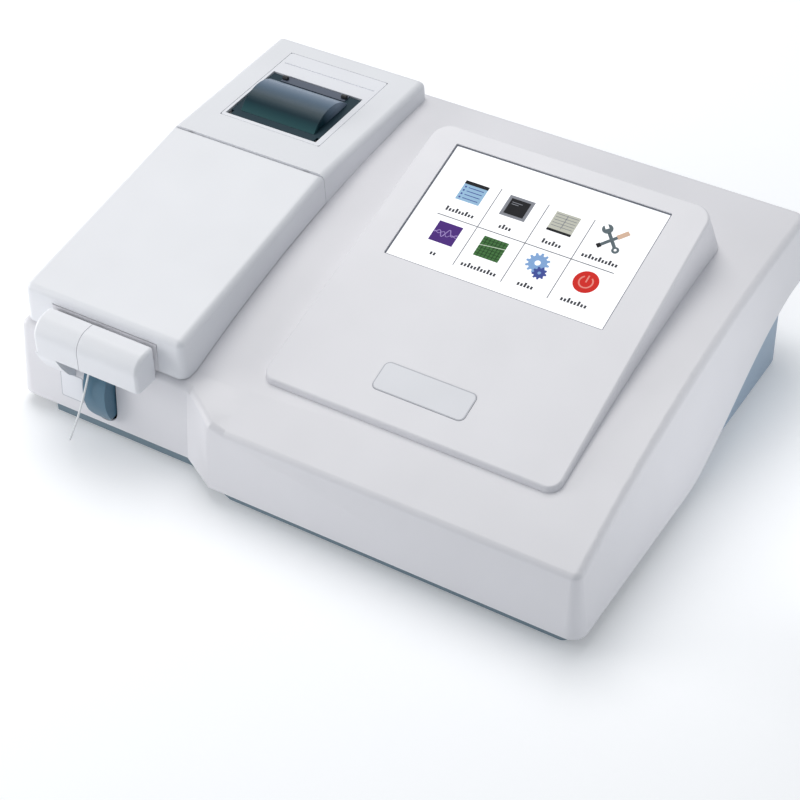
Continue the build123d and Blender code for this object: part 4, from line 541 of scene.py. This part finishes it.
def draw_tools(page, u, v):
    """Spanner and screwdriver, crossed."""
    lean = 0.72
    page.ink(oblong(u, v, 2.3, 15.0, lean), ink_steel, 1)
    page.ink(oblong(u, v, 2.3, 15.0, -lean), ink_steel, 2)
    jaw_u, jaw_v = u - 6.2, v + 6.8
    ring_u, ring_v = u + 5.6, v - 6.4
    page.ink(wheel(jaw_u, jaw_v, 3.6), ink_steel, 3)
    page.ink(oblong(jaw_u - 1.7, jaw_v + 1.9, 2.4, 5.0, lean), page_white, 4)
    page.ink(wheel(ring_u, ring_v, 2.5), ink_steel, 3)
    page.ink(wheel(ring_u, ring_v, 0.9), page_white, 4)
    page.ink(oblong(u + 5.2, v + 5.9, 3.4, 8.0, -lean), ink_peach, 3)
    page.ink(oblong(u - 5.8, v - 6.6, 3.2, 2.6, -lean), ink_black, 3)


def draw_waves(page, u, v):
    """Two waves that swell at the middle: sin(7.5 s) exp(-2.2 s squared), with s from -1 to 1 across."""
    page.ink(oblong(u, v, 17, 16), ink_purple)
    share = np.linspace(-1, 1, 41)
    waves = 3.4 * np.sin(7.5 * share) * np.exp(-2.2 * share * share) + 0.6 * share
    page.ink(ribbon(np.column_stack((u + 8.2 * share, v + waves)), 0.55), ink_lilac, 2)
    page.ink(ribbon(np.column_stack((u + 8.2 * share, v - 0.8 - waves / 2)), 0.4), ink_lilac, 3)


def draw_graph(page, u, v):
    """Squared paper with a line that rises gently."""
    width, height, squares = 17.5, 16, 7
    page.ink(oblong(u, v, width, height), ink_green)
    for i in range(1, squares):
        page.ink(oblong(u, v - height / 2 + height * i / squares, width, 0.4), ink_leaf, 2)
        page.ink(oblong(u - width / 2 + width * i / squares, v, 0.4, height), ink_leaf, 3)
    share = np.linspace(-1, 1, 41)
    page.ink(ribbon(np.column_stack((u + 8.7 * share, v + 1.6 + 1.1 * share)), 0.5), ink_pale, 4)


def draw_gears(page, u, v):
    """Big pale gear with a small dark one over its corner."""
    page.ink(wheel(u - 0.8, v + 1.6, 6.9, 12, 1.8, 144), ink_gear)
    page.ink(wheel(u - 0.8, v + 1.6, 1.9), page_white, 2)
    page.ink(wheel(u + 3.8, v - 5.0, 4.2, 9, 1.2, 108), ink_navy, 3)
    page.ink(wheel(u + 3.8, v - 5.0, 1.1), ink_gear, 4)


def draw_power(page, u, v):
    """Red disc with an open ring and a stroke."""
    page.ink(wheel(u, v, 8.3), ink_red)
    arc = np.linspace(math.radians(125), math.radians(415), 40)
    page.ink(ribbon(np.column_stack((u + 4.4 * np.cos(arc), v + 4.4 * np.sin(arc))), 1.0), ink_rose, 2)
    page.ink(oblong(u, v + 2.4, 1.0, 5.4), ink_rose, 3)


PICTURES = (draw_list, draw_monitor, draw_sheet, draw_tools, draw_waves, draw_graph, draw_gears, draw_power)
CAPTION_LETTERS = (9, 4, 6, 11, 2, 11, 5, 8)
COLUMN_LINES = (45.0, 79.0, 111.4)
RULE_WIDTH = 0.6
RIM_WIDTH = 0.9


def make_page():
    """White page with eight plain pictures in two rows, parted by thin lines."""
    page = Page()
    page.slab(oblong(0, 0, GLASS[0], GLASS[1]), GLASS_DEPTH - GLASS[2], GLASS_DEPTH, page_white)
    for u in COLUMN_LINES:
        page.ink(oblong(u, 41.7, RULE_WIDTH, 65.4), line_grey)
    page.ink(oblong(78.3, 41.4, 125.1, RULE_WIDTH), line_grey, 2)
    for u in (RIM_WIDTH / 2, OPENING[0] - RIM_WIDTH / 2):
        page.ink(oblong(u, OPENING[1] / 2, RIM_WIDTH, OPENING[1]), edge_grey, 3)
    for v in (RIM_WIDTH / 2, OPENING[1] - RIM_WIDTH / 2):
        page.ink(oblong(OPENING[0] / 2, v, OPENING[0], RIM_WIDTH), edge_grey, 4)
    places = [(u, v) for v in (ROW_TOP, ROW_LOW) for u in COLUMNS]
    for (u, v), letters in zip(places, CAPTION_LETTERS):
        caption(page, u, v - CAPTION_DROP, letters)
    for (u, v), draw in zip(places, PICTURES):
        draw(page, u, v)
    page.done("screen_page", "housing", "screen_glass", "touch_panel")


make_page()


# ---- badge and blank label ----
def rounded_box(u, v, width, height, corner, points=8):
    """Rectangle with round corners, as points about its middle."""
    turns = np.linspace(0, math.pi / 2, points)
    quarters = []
    for i, (side, rise) in enumerate(((1, 1), (-1, 1), (-1, -1), (1, -1))):
        angle = turns + i * math.pi / 2
        centre = (side * (width / 2 - corner), rise * (height / 2 - corner))
        quarters.append(np.column_stack((corner * np.cos(angle), corner * np.sin(angle))) + centre)
    return np.concatenate(quarters) + (u, v)


BADGE = (-1.0, -129.6, 64.0, 21.0)
BADGE_CORNER = 4.0
BADGE_RIM = 0.7


def make_badge():
    """Bare plate in the console's lower pocket: a darker rim with the plain face a little proud of it."""
    u, v, width, height = BADGE
    page = Page()
    page.slab(rounded_box(u, v, width, height, BADGE_CORNER), -0.7, 0.24, badge_rim)
    inner_width, inner_height = width - 2 * BADGE_RIM, height - 2 * BADGE_RIM
    page.slab(rounded_box(u, v, inner_width, inner_height, 3.4), -0.7, 0.3, badge_grey)
    page.done("badge_face", "housing", "badge_silver", "badge_plate")


make_badge()

WALL_LEAN = math.radians(5.2)
LABEL_MIDDLE = place(-165.5, 15.4 + math.tan(WALL_LEAN) * 19.0, 29.0)


def make_label():
    """Blank plate on the leaning front wall, left of the paddle."""
    axes = np.array([(1, 0, 0), (0, math.sin(WALL_LEAN), math.cos(WALL_LEAN)),
                     (0, -math.cos(WALL_LEAN), math.sin(WALL_LEAN))])
    spots, faces, inks = [], [], []
    for number, (side, high) in enumerate(((18.0, 0.2), (16.8, 0.26))):
        flat = rounded_box(0, 0, side, side * 1.1, 1.2)
        count = len(flat)
        for height in (-0.3, high):
            spots.append(np.column_stack((flat, np.full(count, height))) @ axes * MM + np.array(LABEL_MIDDLE))
        below = [2 * count * number + i for i in range(count)]
        above = [i + count for i in below]
        sides = [(below[i - 1], below[i], above[i], above[i - 1]) for i in range(count)]
        faces += [above, below[::-1], *sides]
        inks += [number] * (count + 2)
    mesh = bpy.data.meshes.new("blank_label")
    mesh.from_pydata(np.concatenate(spots).tolist(), [], faces)
    mesh.polygons.foreach_set("material_index", inks)
    mesh.materials.append(badge_rim.material)
    mesh.materials.append(frame_white.material)
    add_piece("blank_label", mesh, "housing", "badge_silver")


make_label()


# ---- knobs on the tear bar ----
KNOB_RADIUS = 1.5 * MM
KNOB_LENGTH = 4.2 * MM
KNOB_RISE = 0.9 * MM
KNOB_SIDES = 24


def make_knobs():
    """Pair of short round knobs across the ends of the tear bar.

    A ring's points are (x, r cos t, r sin t), with t once round. The rings give each knob its rounded ends.
    """
    low, high = span("tear_bar")
    turns = np.arange(KNOB_SIDES) * math.tau / KNOB_SIDES
    rings = np.array([(-0.5, 0.72), (-0.42, 1.0), (0.42, 1.0), (0.5, 0.72)]) * (KNOB_LENGTH, KNOB_RADIUS)
    spots, faces = [], []
    for side in (low[0] + KNOB_LENGTH / 2, high[0] - KNOB_LENGTH / 2):
        first = len(spots) * KNOB_SIDES
        for along, radius in rings:
            spots.append(np.column_stack((
                np.full(KNOB_SIDES, side + along),
                (low[1] + high[1]) / 2 + radius * np.cos(turns),
                high[2] + KNOB_RISE + radius * np.sin(turns))))
        for i in range(KNOB_SIDES):
            j = (i + 1) % KNOB_SIDES
            for ring in range(first, first + (len(rings) - 1) * KNOB_SIDES, KNOB_SIDES):
                faces.append((ring + i, ring + j, ring + KNOB_SIDES + j, ring + KNOB_SIDES + i))
        last = first + (len(rings) - 1) * KNOB_SIDES
        faces += [tuple(range(first + KNOB_SIDES - 1, first - 1, -1)), tuple(range(last, last + KNOB_SIDES))]
    mesh = bpy.data.meshes.new("bar_knobs")
    mesh.from_pydata(np.concatenate(spots).tolist(), [], faces)
    mesh.materials.append(black_plastic.material)
    add_piece("bar_knobs", mesh, "cover", "dark_metal")


make_knobs()


# ---- room ----
WORLD_LEVEL = 0.4
SKY_COLOUR = (0.88, 0.94, 1.0)
FLOOR_COLOUR = (0.93, 0.94, 0.96)
FLOOR_GLOW = 0.17
FLOOR_REACH = 6.0


def make_room():
    """Pale floor with a faint glow of its own, which keeps the shadow, and a plain pale world."""
    corners = np.array([(-1, -1, 0), (1, -1, 0), (1, 1, 0), (-1, 1, 0)]) * FLOOR_REACH
    mesh = bpy.data.meshes.new("floor")
    mesh.from_pydata(corners.tolist(), [], [(0, 1, 2, 3)])
    floor = bpy.data.objects.new("floor", mesh)
    bpy.context.scene.collection.objects.link(floor)
    material = bpy.data.materials.new("floor_white")
    material.use_nodes = True
    nodes, links = material.node_tree.nodes, material.node_tree.links
    nodes.clear()
    matt = nodes.new("ShaderNodeBsdfDiffuse")
    matt.inputs["Color"].default_value = (*FLOOR_COLOUR, 1)
    glow = nodes.new("ShaderNodeEmission")
    glow.inputs["Color"].default_value = (1, 1, 1, 1)
    glow.inputs["Strength"].default_value = FLOOR_GLOW
    both = nodes.new("ShaderNodeAddShader")
    out = nodes.new("ShaderNodeOutputMaterial")
    links.new(matt.outputs[0], both.inputs[0])
    links.new(glow.outputs[0], both.inputs[1])
    links.new(both.outputs[0], out.inputs["Surface"])
    mesh.materials.append(material)

    world = bpy.data.worlds.new("studio")
    bpy.context.scene.world = world
    world.use_nodes = True
    nodes, links = world.node_tree.nodes, world.node_tree.links
    nodes.clear()
    path = nodes.new("ShaderNodeLightPath")
    seen = nodes.new("ShaderNodeMath")
    seen.operation = "MAXIMUM"
    level = nodes.new("ShaderNodeMapRange")
    level.inputs["To Min"].default_value = WORLD_LEVEL
    level.inputs["To Max"].default_value = 1.0
    sky = nodes.new("ShaderNodeBackground")
    hue = nodes.new("ShaderNodeValToRGB")
    hue.color_ramp.elements[0].color = (*SKY_COLOUR, 1)
    hue.color_ramp.elements[1].color = (1, 1, 1, 1)
    links.new(seen.outputs[0], hue.inputs["Fac"])
    links.new(hue.outputs["Color"], sky.inputs["Color"])
    out = nodes.new("ShaderNodeOutputWorld")
    links.new(path.outputs["Is Camera Ray"], seen.inputs[0])
    links.new(path.outputs["Is Transmission Ray"], seen.inputs[1])
    links.new(seen.outputs[0], level.inputs["Value"])
    links.new(level.outputs["Result"], sky.inputs["Strength"])
    links.new(sky.outputs[0], out.inputs["Surface"])


def add_lamp(name, spot, target, width, height, power, colour=(1, 1, 1)):
    """Soft lamp at a spot, facing a target and not itself in view."""
    data = bpy.data.lights.new(name, "AREA")
    data.shape = "RECTANGLE"
    data.size = width
    data.size_y = height
    data.energy = power
    data.color = colour
    lamp = bpy.data.objects.new(name, data)
    bpy.context.scene.collection.objects.link(lamp)
    facing = (Vector(target) - Vector(spot)).to_track_quat("-Z", "Y").to_matrix().to_4x4()
    lamp.matrix_world = Matrix.Translation(spot) @ facing
    lamp.visible_camera = False


make_room()
add_lamp("top_lamp", (-0.5, 0.6, 1.85), (0, 0, 0.05), 1.4, 1.4, 23, (1.0, 0.98, 0.955))
add_lamp("front_lamp", (-0.84, -0.5, 0.3), (-0.14, -0.1, 0.05), 0.6, 0.5, 3.8, (1.0, 0.985, 0.97))
add_lamp("floor_lamp", (0.34, 0.0, 0.004), (0.21, 0.0, 0.12), 0.1, 0.5, 0.32)

scene = bpy.context.scene
scene.view_settings.view_transform = "Standard"
